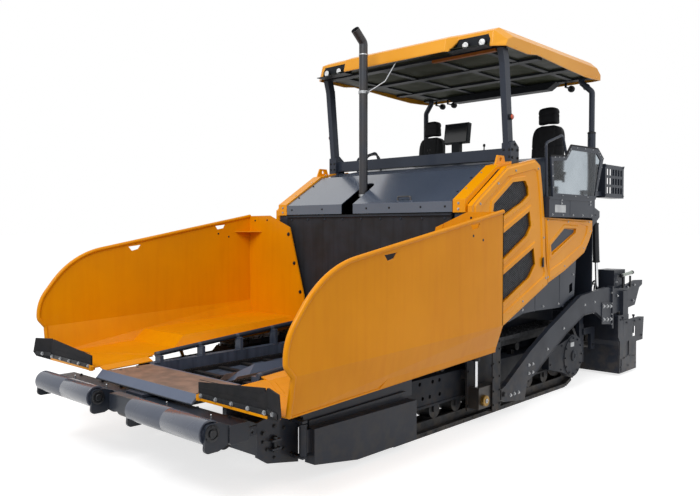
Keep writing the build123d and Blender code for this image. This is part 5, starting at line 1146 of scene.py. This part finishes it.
# Stand, lights and camera: a pale floor under a white sky, with soft lamps above and in front.
WHITE = (1.0, 1.0, 1.0, 1.0)
floor_white, tree, shader = new_material("pale studio floor")
for key, value in (("Base Color", linear("#C9C9C9")), ("Roughness", 0.9), ("Specular IOR Level", 0.0)):
    shader.inputs[key].default_value = value
glow = add(tree, "ShaderNodeEmission", inputs={"Color": WHITE, "Strength": 0.72})


def seen(tree):
    """Mask of the rays that reach the camera, directly, through glass or off a gloss."""
    path = add(tree, "ShaderNodeLightPath").outputs
    first = joined(tree, path["Is Camera Ray"], path["Is Transmission Ray"], "MAXIMUM")
    return joined(tree, first, path["Is Glossy Ray"], "MAXIMUM")


lit = add(tree, "ShaderNodeAddShader", [(shader.outputs[0], 0), (glow.outputs[0], 1)])
choice = add(tree, "ShaderNodeMixShader", [(seen(tree), 0), (shader.outputs[0], 1), (lit.outputs[0], 2)])
tree.links.new(choice.outputs[0], tree.nodes["Material Output"].inputs["Surface"])
ground = placed("studio_floor", bpy.data.meshes.new("studio_floor"))
ground.data.from_pydata([(-200, -200, 0), (200, -200, 0), (200, 200, 0), (-200, 200, 0)], [], [(0, 1, 2, 3)])
ground.data.materials.append(floor_white)

world = bpy.data.worlds.new("studio")
bpy.context.scene.world = world
world.use_nodes = True
tree = world.node_tree
sky = tree.nodes["Background"]
sky.inputs["Color"].default_value = WHITE
sky.inputs["Strength"].default_value = 0.5
bright = add(tree, "ShaderNodeBackground", inputs={"Color": WHITE, "Strength": 1.0})
choice = add(tree, "ShaderNodeMixShader", [(seen(tree), 0), (sky.outputs[0], 1), (bright.outputs[0], 2)])
tree.links.new(choice.outputs[0], tree.nodes["World Output"].inputs["Surface"])


def soft_lamp(name, spot, aim, size, power):
    """One large soft lamp that looks at a point."""
    lamp = bpy.data.lights.new(name, "AREA")
    lamp.size = size
    lamp.energy = power
    thing = placed(name, lamp)
    thing.location = spot
    thing.rotation_euler = (Vector(aim) - Vector(spot)).to_track_quat("-Z", "Y").to_euler()


soft_lamp("key_lamp", (3.0, -9.0, 11.0), (0, 0, 1.5), 7.0, 1100)
soft_lamp("fill_lamp", (10.0, 3.0, 7.0), (0, 0, 1.5), 7.0, 200)

eye = bpy.data.cameras.new("photo view")
eye.sensor_width = 36.0
eye.lens = 37.008
camera = placed("photo_view", eye)
camera.location = at(5575, -3107, 2103)
camera.rotation_euler = (math.radians(90 - 1.595), 0, math.radians(42.67))
bpy.context.scene.camera = camera
bpy.context.scene.view_settings.view_transform = "Standard"
